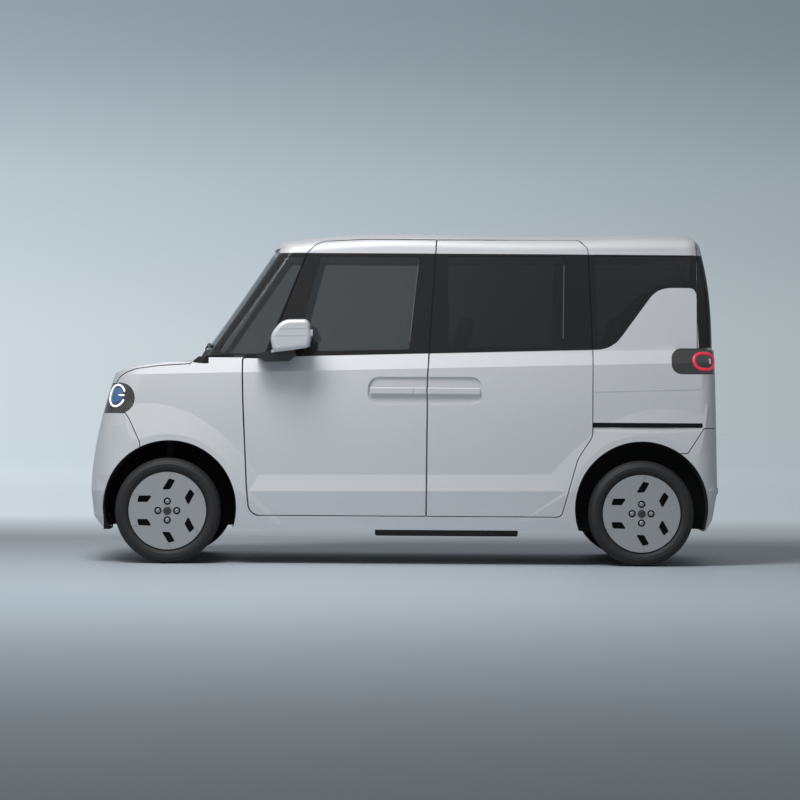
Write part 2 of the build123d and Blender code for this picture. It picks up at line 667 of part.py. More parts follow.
def build_nose():
    write("bonnet", (LOWER - lower_body(BONNET_THICK)) & bonnet_cutter())
    intake = across_prism([(-INTAKE_HALF_WIDTH, INTAKE_LOW), (-INTAKE_HALF_WIDTH, INTAKE_HIGH),
                           (INTAKE_HALF_WIDTH, INTAKE_HIGH), (INTAKE_HALF_WIDTH, INTAKE_LOW)],
                          INTAKE_ROUND, -FAR, BULKHEAD_X)
    bumper = (LOWER_SKIN & front_bumper_cutter()) - both_arches(FRONT_ARCH)
    write("front_bumper", bumper - intake)
    write("headlamps", *both_sides(LEFT_LOWER & headlamp_cutter()))
    half = GRILLE_HALF_WIDTH - PANEL_GAP
    grille = LOWER_SKIN & box(-FAR, GRILLE_REAR, -half, half, GRILLE_LOW + FIT, BONNET_LIP - PANEL_GAP)
    for height, floor in GRILLE_SLOTS:
        grille -= box(-FAR, floor, -GRILLE_SLOT_HALF_WIDTH, GRILLE_SLOT_HALF_WIDTH,
                      height - GRILLE_SLOT_HEIGHT / 2, height + GRILLE_SLOT_HEIGHT / 2)
    mesh = box(INTAKE_MESH_X, INTAKE_MESH_X + INTAKE_MESH_THICK, -INTAKE_HALF_WIDTH + FIT,
               INTAKE_HALF_WIDTH - FIT,
               INTAKE_LOW + FIT, INTAKE_HIGH - FIT)
    mesh = fillet(mesh.edges().filter_by(Axis.X), INTAKE_ROUND)
    write("grille", grille, mesh)
    house = UPPER & box(SCREEN_FOOT_X - FIT, FAR, -FAR, FAR, 0, FAR)
    write("cowl", side_prism(COWL, -COWL_HALF_WIDTH, COWL_HALF_WIDTH) - house)


def build_tail():
    rear = (LOWER_SKIN & rear_bumper_cutter()) - both_arches(REAR_ARCH)
    write("rear_bumper", rear - tailgate_cutter(PANEL_GAP))
    write("tail_lamps", *both_sides((LEFT_LOWER + LEFT_UPPER) & tail_lamp_cutter()))
    gate = (LOWER_SKIN & tailgate_cutter()) + ((UPPER_SKIN - LOWER) & tailgate_cutter())
    gate -= box(PLATE_FLOOR_X, FAR, -PLATE_HALF_WIDTH, PLATE_HALF_WIDTH, PLATE_LOW, PLATE_HIGH)
    write("tailgate", gate - rear_window_cutter())
    write("tailgate_glass", PANE_SKIN & rear_window_cutter())


def build_doors():
    door = door_panel(FRONT_DOOR, FRONT_GLASS, HANDLE_BARS[0])
    write("front_door_left", door)
    write("front_door_right", mirrored(door))
    glass = LEFT_PANE & left_prism(FRONT_GLASS)
    write("front_door_glass_left", glass)
    write("front_door_glass_right", mirrored(glass))
    slide = door_panel(SLIDING_DOOR, SLIDING_GLASS, HANDLE_BARS[1])
    write("sliding_doors", *both_sides(slide))


def build_fixed_glass():
    front = LEFT_PANE & left_prism(FRONT_QUARTER_GLASS)
    rear = LEFT_PANE & left_prism(REAR_QUARTER_GLASS)
    sliding = LEFT_PANE & left_prism(SLIDING_GLASS)
    write("front_glass", PANE_SKIN & windscreen_cutter(), *both_sides(front))
    write("rear_side_glass", *both_sides(sliding), *both_sides(rear))


def build_mirrors():
    shell = side_prism(MIRROR_SHELL, -MIRROR_OUT, -MIRROR_IN)
    shell = fillet(shell.faces().sort_by(Axis.Y)[0].edges(), MIRROR_ROUND)
    foot = side_prism(MIRROR_FOOT, -MIRROR_FOOT_OUT, -MIRROR_FOOT_IN)
    for house in (left_half(LOWER), left_half(UPPER)):
        foot -= house
        foot -= Pos(0, -MIRROR_GAP, MIRROR_GAP) * house - door_prism(FRONT_DOOR)
    held = foot + shell
    piece = held.solids().sort_by(SortBy.VOLUME)[-1]
    write("mirror_left", piece)
    write("mirror_right", mirrored(piece))


def wheelhouse(centre, y_inner, y_outer):
    shell = arch(centre, ARCH_RADIUS - FIT, -y_outer, -y_inner)
    shell -= arch(centre, ARCH_RADIUS - FIT - LINER_THICK, -FAR, -y_inner - LINER_THICK)
    return shell - box(-FAR, FAR, -FAR, FAR, -FAR, LINER_FOOT)


def build_floor():
    load_front = LOAD_STEP + STEP_THICK
    load_rear = REAR_END - LOAD_REAR_IN
    half = WHEELHOUSE_HALF_WIDTH
    front = box(BULKHEAD_X + BULKHEAD_THICK, LOAD_STEP, -FAR, FAR, FLOOR_LOW, FLOOR_LOW + FLOOR_THICK)
    step = box(LOAD_STEP, load_front, -half, half, FLOOR_LOW, LOAD_FLOOR)
    load = box(load_front, load_rear, -half, half, LOAD_FLOOR_LOW, LOAD_FLOOR)
    pan = (front + step + load) & LOWER_ROOM
    panel = box(load_rear - OVERLAP, REAR_END, -TAIL_PANEL_HALF_WIDTH, TAIL_PANEL_HALF_WIDTH,
                TAIL_PANEL_LOW, LOAD_FLOOR) & LOWER_INNER
    write("floor_pan", pan + panel)


def build_bulkhead():
    rear = BULKHEAD_X + BULKHEAD_THICK
    wall = box(BULKHEAD_X, rear, -FAR, FAR, FLOOR_LOW, COWL_TRAY) & LOWER_ROOM
    tray = box(COWL_FRONT + TRAY_FRONT_IN, rear, -COWL_HALF_WIDTH, COWL_HALF_WIDTH,
               COWL_TRAY - TRAY_THICK, COWL_TRAY)
    foot = UPPER_SKIN & box(SCREEN_FOOT_X, rear, -COWL_HALF_WIDTH, COWL_HALF_WIDTH, COWL_TRAY - OVERLAP,
                            WINDSCREEN_LOW)
    write("bulkhead", wall + tray + foot)


def build_liners():
    front = wheelhouse(FRONT_ARCH, FRONT_LINER_IN, LINER_OUT)
    front -= Pos(FRONT_AXLE, -STRUT_Y, STRUT_HOLE_Z) * Cylinder(STRUT_HOLE_RADIUS, STRUT_HOLE_HEIGHT)
    front += box(FLAP_FRONT, FLAP_REAR, -FLAP_OUT, -FLAP_IN, FLAP_LOW, FLAP_HIGH) - LOWER_SKIN
    rear = wheelhouse(REAR_ARCH, WHEELHOUSE_HALF_WIDTH, LINER_OUT)
    rear -= rod(REAR_AXLE, -FAR, 0, TYRE_RADIUS, AXLE_HOLE_RADIUS)
    write("wheel_liners", *both_sides(front), *both_sides(rear))


def axle_blocks(table):
    return [box(FRONT_AXLE + x_low, FRONT_AXLE + x_high, y_low, y_high, z_low, z_high)
            for x_low, x_high, y_low, y_high, z_low, z_high in table]


def build_front_structure():
    tower, cap, arm, post = axle_blocks(FRONT_BLOCKS)
    rail = box(RAIL_FRONT, BULKHEAD_X - FIT, -RAIL_OUT, -RAIL_IN, RAIL_LOW, RAIL_HIGH)
    strut_low = KNUCKLE_TOP + FIT
    strut = Cylinder(STRUT_RADIUS, STRUT_TOP - strut_low)
    strut = Pos(FRONT_AXLE, -STRUT_Y, (strut_low + STRUT_TOP) / 2) * strut
    side = rail + tower + cap + strut + arm + post
    cross = box(CROSS_FRONT, CROSS_REAR, -RAIL_OUT, RAIL_OUT, RAIL_Z - CROSS_HALF, RAIL_Z + CROSS_HALF)
    horn = box(FRONT_END, CROSS_FRONT + OVERLAP, -RAIL_OUT, -RAIL_IN, RAIL_LOW, RAIL_HIGH) & LOWER_INNER
    write("front_subframe", side + mirrored(side) + cross + horn + mirrored(horn))
    engine_half = RAIL_IN - FIT
    write("engine_block", box(ENGINE_FRONT, ENGINE_REAR, -engine_half, engine_half, ENGINE_LOW, ENGINE_HIGH))


def knuckle():
    plate, reach, lug, calliper, bridge = axle_blocks(KNUCKLE_BLOCKS)
    ball = Cylinder(BALL_RADIUS, BALL_HEIGHT)
    ball = Pos(FRONT_AXLE, -KINGPIN_Y + BALL_IN, ARM_TOP + FIT + BALL_RAISE) * ball
    hub = rod(FRONT_AXLE, -WHEEL_Y + HUB_FACE + FIT, -HUB_IN, TYRE_RADIUS, HUB_RADIUS)
    disc = rod(FRONT_AXLE, -DISC_OUT, -DISC_IN, TYRE_RADIUS, BRAKE_RADIUS)
    return plate + reach + ball + lug + hub + disc + calliper + bridge


def build_knuckles():
    piece = knuckle()
    write("knuckle_left", piece)
    write("knuckle_right", mirrored(piece))


def build_rear_axle():
    end = WHEEL_Y - HUB_FACE - FIT
    beam = rod(REAR_AXLE, -end, end, TYRE_RADIUS, AXLE_TUBE_RADIUS)
    drum = rod(REAR_AXLE, -end, -DRUM_IN, TYRE_RADIUS, DRUM_RADIUS)
    arm = box(LOAD_STEP + STEP_THICK + FIT, REAR_AXLE, -TRAILING_ARM_OUT, -TRAILING_ARM_IN,
              TYRE_RADIUS - TRAILING_ARM_HALF, TYRE_RADIUS + TRAILING_ARM_HALF)
    spring = Pos(REAR_AXLE, -SPRING_Y, (TYRE_RADIUS + LOAD_FLOOR_LOW) / 2) * Cylinder(
        SPRING_RADIUS, LOAD_FLOOR_LOW - TYRE_RADIUS - FIT)
    write("rear_axle", beam + drum + mirrored(drum) + arm + mirrored(arm) + spring + mirrored(spring))


def build_under_parts():
    write("fuel_tank", rounded_box(*TANK, TANK_ROUND))
    pieces = []
    for x, z, radius, length in EXHAUST_TUBES:
        pieces.append(Pos(x, EXHAUST_Y, z) * Rot(0, 90, 0) * Cylinder(radius, length))
    for x_low, x_high, z_low, z_high in EXHAUST_HANGERS:
        pieces.append(box(x_low, x_high, EXHAUST_Y - HANGER_HALF, EXHAUST_Y + HANGER_HALF, z_low, z_high))
    pipe, silencer, tail, front_hanger, rear_hanger = pieces
    write("exhaust", pipe + silencer + tail + front_hanger + rear_hanger)


def tyre_profile():
    inner_side = [(radius, -half) for radius, half in TYRE_SECTION]
    return inner_side + [(radius, half) for radius, half in reversed(TYRE_SECTION)]


def wheel_ring(points, radii):
    face = make_face(FilletPolyline(*points, radius=radii, close=True))
    return revolve(Plane.XY * face, axis=Axis.Y)


def tyre():
    return wheel_ring(tyre_profile(), TYRE_SECTION_ROUND)


def rim():
    half = RIM_WIDTH / 2
    barrel = Rot(90, 0, 0) * (Cylinder(RIM_SEAT, 2 * half) - Cylinder(RIM_SEAT - RIM_THICK, 2 * half))
    mount = rod(0, -COVER_FACE, HUB_FACE, 0, HUB_BOSS_RADIUS)
    web = rod(0, HUB_FACE - WEB_THICK, HUB_FACE, 0, WEB_RADIUS)
    cover = rod(0, -COVER_FACE, -COVER_FACE + COVER_THICK, 0, COVER_RADIUS)
    return barrel + mount + web + cover


def cover_slots():
    slots = []
    for band in COVER_SLOT_BANDS:
        for side in (1, -1):
            points = [(u, side * v) for u, v in COVER_SLOT]
            face = make_face(FilletPolyline(*points, radius=COVER_SLOT_ROUND, close=True))
            slot = Plane.XZ * (Rot(0, 0, band) * face)
            slots.append(Pos(0, -COVER_FACE - CUT_PAST, 0) * extrude(slot, COVER_THICK + 2 * CUT_PAST,
                                                                     dir=(0, 1, 0)))
    return slots


def wheel():
    body = rim()
    for slot in cover_slots():
        body -= slot
    well_floor = -COVER_FACE + NUT_WELL_DEPTH
    nuts = []
    for stud in range(STUDS):
        turn = 2 * math.pi * stud / STUDS
        x = STUD_CIRCLE / 2 * math.cos(turn)
        z = STUD_CIRCLE / 2 * math.sin(turn)
        body -= rod(x, -COVER_FACE - CUT_PAST, well_floor, z, NUT_WELL_RADIUS)
        nuts.append(rod(x, well_floor - NUT_HEIGHT, well_floor, z, NUT_RADIUS))
    for nut in nuts:
        body += nut
    return body


def build_wheels():
    left_tyre = tyre()
    left_wheel = wheel()
    for end, axle in (("front", FRONT_AXLE), ("rear", REAR_AXLE)):
        place = Pos(axle, -WHEEL_Y, TYRE_RADIUS)
        write(f"tyre_{end}_left", place * left_tyre)
        write(f"wheel_{end}_left", place * left_wheel)
        write(f"tyre_{end}_right", mirrored(place * left_tyre))
        write(f"wheel_{end}_right", mirrored(place * left_wheel))


def build_dashboard():
    wall = BULKHEAD_X + BULKHEAD_THICK + FIT
    top = box(DASH_FRONT, wall, -DASH_TOP_HALF_WIDTH, DASH_TOP_HALF_WIDTH, COWL_TRAY + FIT, DASH_HIGH)
    front = box(wall, DASH_REAR, -DASH_HALF_WIDTH, DASH_HALF_WIDTH, DASH_LOW, DASH_HIGH)
    panel = top + front
    panel = fillet(panel.edges().filter_by(Axis.Y).sort_by(Axis.X)[-2:], DASH_ROUND)
    panel -= UPPER_SKIN
    write("dashboard", panel)
    tilt = Rot(0, COLUMN_TILT, 0)
    column = Pos(COLUMN_X, SEAT_SIDE, COLUMN_Z) * tilt * Cylinder(COLUMN_RADIUS, COLUMN_LENGTH)
    place = Pos(STEERING_X, SEAT_SIDE, STEERING_Z) * tilt
    ring = place * Torus(STEERING_RADIUS, STEERING_ROD_RADIUS)
    spoke = place * Box(*STEERING_SPOKE)
    boss = place * Cylinder(STEERING_BOSS_RADIUS, STEERING_BOSS_THICK)
    wheel_set = column + ring + spoke + boss
    write("steering_wheel", wheel_set - panel)


def cushion(x, y, width, low):
    return rounded_box(x - SEAT_LENGTH, x, y - width / 2, y + width / 2, low, low + CUSHION_THICK,
                       SEAT_ROUND)


def seat_back(x, y, width, low, height):
    pad = rounded_box(-BACK_THICK, 0, -width / 2, width / 2, 0, height, SEAT_ROUND)
    pad += rounded_box(-HEAD_REST_FRONT, -HEAD_REST_REAR, -HEAD_REST_HALF_WIDTH, HEAD_REST_HALF_WIDTH,
                       height + HEAD_REST_LOW, height + HEAD_REST_HIGH, SEAT_ROUND)
    for side in (-POST_SIDE, POST_SIDE):
        pad += Pos(POST_X, side, height + POST_RAISE) * Cylinder(POST_RADIUS, POST_LENGTH)
    return Pos(x + BACK_SHIFT, y, low) * Rot(0, BACK_LEAN, 0) * pad


def build_seats():
    cushions, backs, bases = [], [], []
    for side in (-1, 1):
        y = side * SEAT_SIDE
        for x, low in ((FRONT_SEAT_X, FRONT_SEAT_LOW), (REAR_SEAT_X, REAR_SEAT_LOW)):
            cushions.append(cushion(x, y, SEAT_WIDTH, low))
            backs.append(seat_back(x, y, SEAT_WIDTH, low + BACK_RAISE, SEAT_BACK))
            bases.append(box(x - SEAT_LENGTH + SEAT_BASE_START, x - SEAT_BASE_END, y - SEAT_BASE_HALF_WIDTH,
                             y + SEAT_BASE_HALF_WIDTH, FLOOR_LOW + FLOOR_THICK, low - FIT))
    write("seat_cushions", *cushions)
    write("seat_backs", *backs)
    write("seat_bases", *bases)


def build_all():
    build_sides()
    build_roof()
    build_nose()
    build_tail()
    build_doors()
    build_fixed_glass()
    build_mirrors()
    build_floor()
    build_bulkhead()
    build_liners()
    build_front_structure()
    build_knuckles()
    build_rear_axle()
    build_under_parts()
    build_wheels()
    build_dashboard()
    build_seats()


build_all()
os.makedirs("parts", exist_ok=True)
for name, shape in PARTS.items():
    export_step(shape, f"parts/{name}.step")
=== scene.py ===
import bpy
import json
import math
from mathutils import Matrix, Vector

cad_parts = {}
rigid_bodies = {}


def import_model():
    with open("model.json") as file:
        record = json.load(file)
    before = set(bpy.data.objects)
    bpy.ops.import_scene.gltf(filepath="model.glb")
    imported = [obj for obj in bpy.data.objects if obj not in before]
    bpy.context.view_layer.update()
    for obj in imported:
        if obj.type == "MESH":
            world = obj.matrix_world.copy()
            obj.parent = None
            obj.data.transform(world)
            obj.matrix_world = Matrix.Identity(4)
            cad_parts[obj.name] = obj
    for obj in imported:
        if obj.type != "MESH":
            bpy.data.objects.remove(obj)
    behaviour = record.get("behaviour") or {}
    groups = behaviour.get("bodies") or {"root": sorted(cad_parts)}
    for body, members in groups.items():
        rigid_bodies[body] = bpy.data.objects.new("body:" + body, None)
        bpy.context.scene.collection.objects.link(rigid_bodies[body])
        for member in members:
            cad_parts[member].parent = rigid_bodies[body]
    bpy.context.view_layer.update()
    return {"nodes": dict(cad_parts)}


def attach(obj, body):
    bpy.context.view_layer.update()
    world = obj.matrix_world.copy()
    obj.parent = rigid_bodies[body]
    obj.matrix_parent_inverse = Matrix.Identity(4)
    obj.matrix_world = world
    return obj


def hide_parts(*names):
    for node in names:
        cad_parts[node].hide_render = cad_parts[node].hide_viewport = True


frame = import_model()
nodes = frame["nodes"]


# Camera: it stands 17.5 m off the car's left side, just below the height of the door handles. It has a long
# lens and leans a little over a third of a degree to one side.
def put_in(name, data):
    thing = bpy.data.objects.new(name, data)
    bpy.context.scene.collection.objects.link(thing)
    return thing


near_side = -0.7345
camera_distance = 17.5
camera_along, camera_height = -0.0196, 0.877
camera_data = bpy.data.cameras.new("camera")
camera_data.sensor_width = 36
camera_data.lens = 148.3
camera = put_in("camera", camera_data)
camera.location = (camera_along, near_side - camera_distance, camera_height)
camera.rotation_euler = (math.radians(90), math.radians(-0.38), 0)
bpy.context.scene.camera = camera
bpy.context.scene.view_settings.view_transform = "Standard"


# Studio: one pale floor, darker towards the camera, in front of a grey-blue backdrop that darkens upwards.
# Beyond the car the floor carries a painted glow, which stands in for the light on it. Behind the camera
# stand a pale wall and a brighter ceiling, which gloss reflects. Two soft lamps hang on the camera's side
# of the car, and a dim glow from all round fills the shade.
def work_out(tree, operation, first, second=0.0, third=0.0):
    step = tree.nodes.new("ShaderNodeMath")
    step.operation = operation
    for socket, value in zip(step.inputs, (first, second, third)):
        if isinstance(value, (int, float)):
            socket.default_value = value
        else:
            tree.links.new(value, socket)
    return step.outputs[0]


def place_of(tree, kind="Object"):
    split = tree.nodes.new("ShaderNodeSeparateXYZ")
    tree.links.new(tree.nodes.new("ShaderNodeTexCoord").outputs[kind], split.inputs[0])
    return split.outputs["X"], split.outputs["Y"], split.outputs["Z"]


def shades(tree, factor, stops):
    ramp = tree.nodes.new("ShaderNodeValToRGB")
    steps = ramp.color_ramp.elements
    while len(steps) < len(stops):
        steps.new(1.0)
    for step, (place, rgb) in zip(steps, stops):
        step.position = place
        step.color = (*rgb, 1)
    tree.links.new(factor, ramp.inputs["Fac"])
    return ramp.outputs["Color"]


def mixer(tree, factor, kind):
    """A mixing step driven by factor: its two ends and its result."""
    mix = tree.nodes.new("ShaderNodeMix")
    mix.data_type = kind
    tree.links.new(factor, mix.inputs[0])
    ends = [plug for plug in mix.inputs if plug.enabled and plug.name in ("A", "B")]
    return ends, [plug for plug in mix.outputs if plug.enabled][0]


def blended(tree, factor, first, second):
    ends, result = mixer(tree, factor, "RGBA")
    for socket, value in zip(ends, (first, second)):
        if isinstance(value, tuple):
            socket.default_value = (*value, 1)
        else:
            tree.links.new(value, socket)
    return result


def looked_at(tree, *kinds):
    """1 for rays of the camera and of the named kinds, 0 for the rest, which only carry light about."""
    ray = tree.nodes.new("ShaderNodeLightPath").outputs
    looked = ray["Is Camera Ray"]
    for kind in kinds:
        looked = work_out(tree, "MAXIMUM", looked, ray[kind])
    return looked


def fading(tree, sideways, rate):
    """Strength 1 in the middle of the view, changing at that rate sideways, up to the widest look."""
    held = work_out(tree, "MINIMUM", work_out(tree, "MAXIMUM", sideways, -widest_look), widest_look)
    return work_out(tree, "MULTIPLY_ADD", held, rate, 1.0)


widest_look = 0.12
floor_fade, backdrop_fade = -2.2, -1.7
eye_to_middle = 18.23
floor_start, floor_span = -12, 40
floor_shades = [
    (0.0, (0.34, 0.40, 0.45)), (0.05, (0.48, 0.57, 0.64)), (0.10, (0.64, 0.74, 0.82)),
    (0.20, (0.62, 0.72, 0.80)), (0.30, (0.60, 0.66, 0.72)), (1.0, (0.62, 0.67, 0.71)),
]
# Painted light on the far floor: a glow that rises with distance beyond the car, seen only by the camera and
# in gloss.
far_painted_light = [
    (0.36, (0.0, 0.0, 0.0)), (0.46, (0.34, 0.38, 0.40)), (0.8, (0.38, 0.43, 0.46)),
    (1.0, (0.36, 0.41, 0.44)),
]
bpy.ops.object.select_all(action="DESELECT")
bpy.ops.mesh.primitive_circle_add(vertices=96, radius=60, fill_type="NGON", location=(0, 0, 0))
floor = bpy.context.object
floor.name = "studio_floor"
floor_paint = bpy.data.materials.new("studio_floor")
floor_paint.use_nodes = True
tree = floor_paint.node_tree
floor_shader = tree.nodes["Principled BSDF"]
floor_shader.inputs["Roughness"].default_value = 0.55
along, across, height = place_of(tree)
floor_reach = work_out(tree, "MULTIPLY_ADD", across, 1 / floor_span, -floor_start / floor_span)
floor_reach.node.use_clamp = True
tree.links.new(shades(tree, floor_reach, floor_shades), floor_shader.inputs["Base Color"])
tree.links.new(shades(tree, floor_reach, far_painted_light), floor_shader.inputs["Emission Color"])
sideways = work_out(tree, "DIVIDE", along, work_out(tree, "ADD", across, eye_to_middle))
# The painted glow lights nothing: only camera and glossy rays see it, and it fades sideways.
glow = work_out(tree, "MULTIPLY", looked_at(tree, "Is Glossy Ray"), fading(tree, sideways, floor_fade))
tree.links.new(glow, floor_shader.inputs["Emission Strength"])
floor.data.materials.append(floor_paint)

world = bpy.data.worlds.new("studio_world")
bpy.context.scene.world = world
world.use_nodes = True
tree = world.node_tree
sky_along, sky_across, sky_height = place_of(tree, "Generated")
backdrop = shades(tree, sky_height, [
    (0.0, (0.51, 0.574, 0.61)), (0.018, (0.51, 0.574, 0.61)), (0.067, (0.40, 0.47, 0.515)),
    (0.103, (0.268, 0.325, 0.367)), (0.118, (0.238, 0.296, 0.337)), (0.5, (0.45, 0.48, 0.50)),
    (1.0, (0.85, 0.86, 0.87)),
])
wall = shades(tree, sky_height, [
    (0.0, (0.20, 0.22, 0.235)), (0.02, (0.24, 0.26, 0.27)), (0.05, (0.62, 0.64, 0.65)),
    (0.262, (0.60, 0.63, 0.65)), (0.278, (0.86, 0.87, 0.88)),
])
fill_light = (0.08, 0.084, 0.088)
near_half = work_out(tree, "MULTIPLY_ADD", sky_across, -2.0, 0.5)
near_half.node.use_clamp = True
seen = blended(tree, near_half, backdrop, wall)
looked = looked_at(tree, "Is Glossy Ray", "Is Transmission Ray")
background = tree.nodes["Background"]
tree.links.new(blended(tree, looked, fill_light, seen), background.inputs["Color"])
tree.links.new(fading(tree, sky_along, backdrop_fade), background.inputs["Strength"])

lamps = (
    ("top_lamp", (-1.5, -3.6, 5.9), (-0.2, 0, 0.8), 2.4, 205),
    ("front_lamp", (-4.2, -5.6, 6.4), (0, 0, 0.6), 1.8, 72),
)
for lamp_name, place, aim, size, watts in lamps:
    lamp_data = bpy.data.lights.new(lamp_name, "AREA")
    lamp_data.size = size
    lamp_data.energy = watts
    lamp = put_in(lamp_name, lamp_data)
    lamp.location = place
    toward = Vector(aim) - Vector(place)
    lamp.rotation_euler = toward.to_track_quat("-Z", "Y").to_euler()


# Body panels: pressed steel wings, doors, bonnet, roof and tailgate and moulded bumpers, in a pearly white
# paint with a thin clear coat. A black film covers the pillars and window frames between the belt and the
# roof rails. Its lower edge is a curve over the length of the car. Inside the rail slots the paint is black:
# painted shade, where the slots are in shade.
def new_material(name, rgb, roughness, metallic=0.0, coat=0.0):
    material = bpy.data.materials.new(name)
    material.use_nodes = True
    shader = material.node_tree.nodes["Principled BSDF"]
    shader.inputs["Base Color"].default_value = (*rgb, 1)
    shader.inputs["Roughness"].default_value = roughness
    shader.inputs["Metallic"].default_value = metallic
    shader.inputs["Coat Weight"].default_value = coat
    shader.inputs["Coat Roughness"].default_value = 0.03
    return material


def two_tone(material, mask, rgb, roughness, metallic, coat=None):
    """Where mask is 1 the material has the second look; a coat that is left out stays as it is."""
    tree = material.node_tree
    changes = [("Base Color", (*rgb, 1)), ("Roughness", roughness), ("Metallic", metallic)]
    if coat is not None:
        changes.append(("Coat Weight", coat))
    for socket_name, value in changes:
        socket = tree.nodes["Principled BSDF"].inputs[socket_name]
        ends, result = mixer(tree, mask, "RGBA" if socket_name == "Base Color" else "FLOAT")
        ends[0].default_value = socket.default_value
        ends[1].default_value = value
        tree.links.new(result, socket)


def between(tree, value, low, high):
    above = work_out(tree, "GREATER_THAN", value, low)
    return work_out(tree, "MULTIPLY", above, work_out(tree, "LESS_THAN", value, high))


def dress(material, *names):
    for name in names:
        mesh = nodes[name].data
        mesh.materials.clear()
        mesh.materials.append(material)


body_white = (0.77, 0.78, 0.80)
film_black = (0.011, 0.011, 0.012)
film_front, film_rear = -1.30, 1.75
film_floor, film_roof = 1.0, 1.75
film_length, film_rise = film_rear - film_front, film_roof - film_floor
pillar_foot = -1.09
rail_line = 1.661
slot_front, slot_rear = 1.0045, 1.5895
slot_low, slot_high = 0.7392, 0.7635
film_edge = [
    (-1.30, 1.098), (-0.75, 1.098), (-0.50, 1.108), (0.09, 1.124), (1.00, 1.150), (1.05, 1.153),
    (1.089, 1.163), (1.134, 1.191), (1.162, 1.225), (1.273, 1.377), (1.318, 1.439), (1.351, 1.467),
    (1.385, 1.480), (1.418, 1.485), (1.530, 1.485), (1.552, 1.474), (1.562, 1.45), (1.565, 1.166),
    (1.75, 1.166),
]
paint = new_material("white_paint", body_white, 0.52, 0.25, coat=0.15)
tree = paint.node_tree
tree.nodes["Principled BSDF"].inputs["Specular IOR Level"].default_value = 0.3
along, across, height = place_of(tree)
film_curve = tree.nodes.new("ShaderNodeFloatCurve")
line = film_curve.mapping.curves[0]
scaled = [((x - film_front) / film_length, (z - film_floor) / film_rise) for x, z in film_edge]
line.points[0].location, line.points[-1].location = scaled[0], scaled[-1]
for spot in scaled[1:-1]:
    line.points.new(*spot)
for point in line.points:
    point.handle_type = "VECTOR"
film_curve.mapping.update()
reach = work_out(tree, "MULTIPLY_ADD", along, 1 / film_length, -film_front / film_length)
tree.links.new(reach, film_curve.inputs["Value"])
edge_height = work_out(tree, "MULTIPLY_ADD", film_curve.outputs[0], film_rise, film_floor)
film = work_out(tree, "MULTIPLY", between(tree, height, edge_height, rail_line),
                work_out(tree, "GREATER_THAN", along, pillar_foot))
# Painted shade: the rail slot band is coloured black for the shade that falls inside the slot.
rail_slot_shade = work_out(tree, "MULTIPLY", between(tree, along, slot_front, slot_rear),
                between(tree, height, slot_low, slot_high))
two_tone(paint, work_out(tree, "MAXIMUM", film, rail_slot_shade), film_black, 0.16, 0.0, 0.0)
dress(paint, "side_frames", "front_fenders", "roof_panel", "front_bumper", "rear_bumper", "sliding_doors",
      "bonnet", "tailgate", "front_door_left", "front_door_right")


# Windows: a laminated windscreen and front door panes with a faint blue-grey tint, and dark privacy glass
# behind the front doors. Each pane keeps the shape of its opening and is held there by its edge.
def glass(name, rgb, clearness):
    material = new_material(name, rgb, 0.02)
    material.node_tree.nodes["Principled BSDF"].inputs["Alpha"].default_value = 1 - clearness
    return material


clear_glass = glass("clear_glass", (0.028, 0.036, 0.042), 0.50)
dress(clear_glass, "front_glass", "front_door_glass_left", "front_door_glass_right")
privacy_glass = glass("privacy_glass", (0.010, 0.012, 0.015), 0.30)
dress(privacy_glass, "rear_side_glass", "tailgate_glass")


# Trim, cabin and underbody: grained black polypropylene, felt wheel arch liners, underseal on the floor and
# the axles, rough cast metal and a steel exhaust. They keep their shapes, and a fine noise gives the grain.
def grained(name, rgb, roughness, fineness, depth):
    material = new_material(name, rgb, roughness)
    tree = material.node_tree
    noise = tree.nodes.new("ShaderNodeTexNoise")
    noise.inputs["Scale"].default_value = fineness
    noise.inputs["Detail"].default_value = 3
    tree.links.new(tree.nodes.new("ShaderNodeTexCoord").outputs["Object"], noise.inputs["Vector"])
    bump = tree.nodes.new("ShaderNodeBump")
    bump.inputs["Strength"].default_value = 0.4
    bump.inputs["Distance"].default_value = depth
    tree.links.new(noise.outputs[0], bump.inputs["Height"])
    tree.links.new(bump.outputs[0], tree.nodes["Principled BSDF"].inputs["Normal"])
    return material


black_plastic = grained("black_plastic", (0.018, 0.018, 0.019), 0.5, 900, 0.0004)
dress(black_plastic, "grille", "cowl", "fuel_tank")
liner_felt = grained("liner_felt", (0.006, 0.006, 0.006), 0.95, 300, 0.0008)
dress(liner_felt, "wheel_liners")
under_black = grained("under_black", (0.010, 0.010, 0.011), 0.8, 60, 0.001)
dress(under_black, "floor_pan", "bulkhead", "front_subframe", "rear_axle")
cast_metal = grained("cast_metal", (0.19, 0.19, 0.195), 0.5, 200, 0.001)
dress(cast_metal, "engine_block", "knuckle_left", "knuckle_right")
exhaust_steel = new_material("exhaust_steel", (0.30, 0.29, 0.27), 0.4, 0.9)
dress(exhaust_steel, "exhaust")
cabin_plastic = grained("cabin_plastic", (0.05, 0.05, 0.053), 0.55, 700, 0.0003)
dress(cabin_plastic, "dashboard", "steering_wheel", "seat_bases")


# Head lamps: a black moulded housing under a clear coat. A light guide lies on its face as an open ring
# about a blue-coated lens with a faint painted blue highlight, and a short bar reaches back from the middle.
# All are bonded to the housing.
def glowing(name, rgb, roughness, glow_rgb, strength, coat=0.0):
    material = new_material(name, rgb, roughness, coat=coat)
    shader = material.node_tree.nodes["Principled BSDF"]
    shader.inputs["Emission Color"].default_value = (*glow_rgb, 1)
    shader.inputs["Emission Strength"].default_value = strength
    return material


def deselect():
    for thing in list(bpy.context.view_layer.objects.selected):
        thing.select_set(False)


def pick(*things):
    deselect()
    for thing in things:
        thing.select_set(True)
    bpy.context.view_layer.objects.active = things[0]


def on_skin(node_name, start, direction):
    hit, spot, normal, face = nodes[node_name].ray_cast(Vector(start), Vector(direction).normalized())
    return spot if hit else None


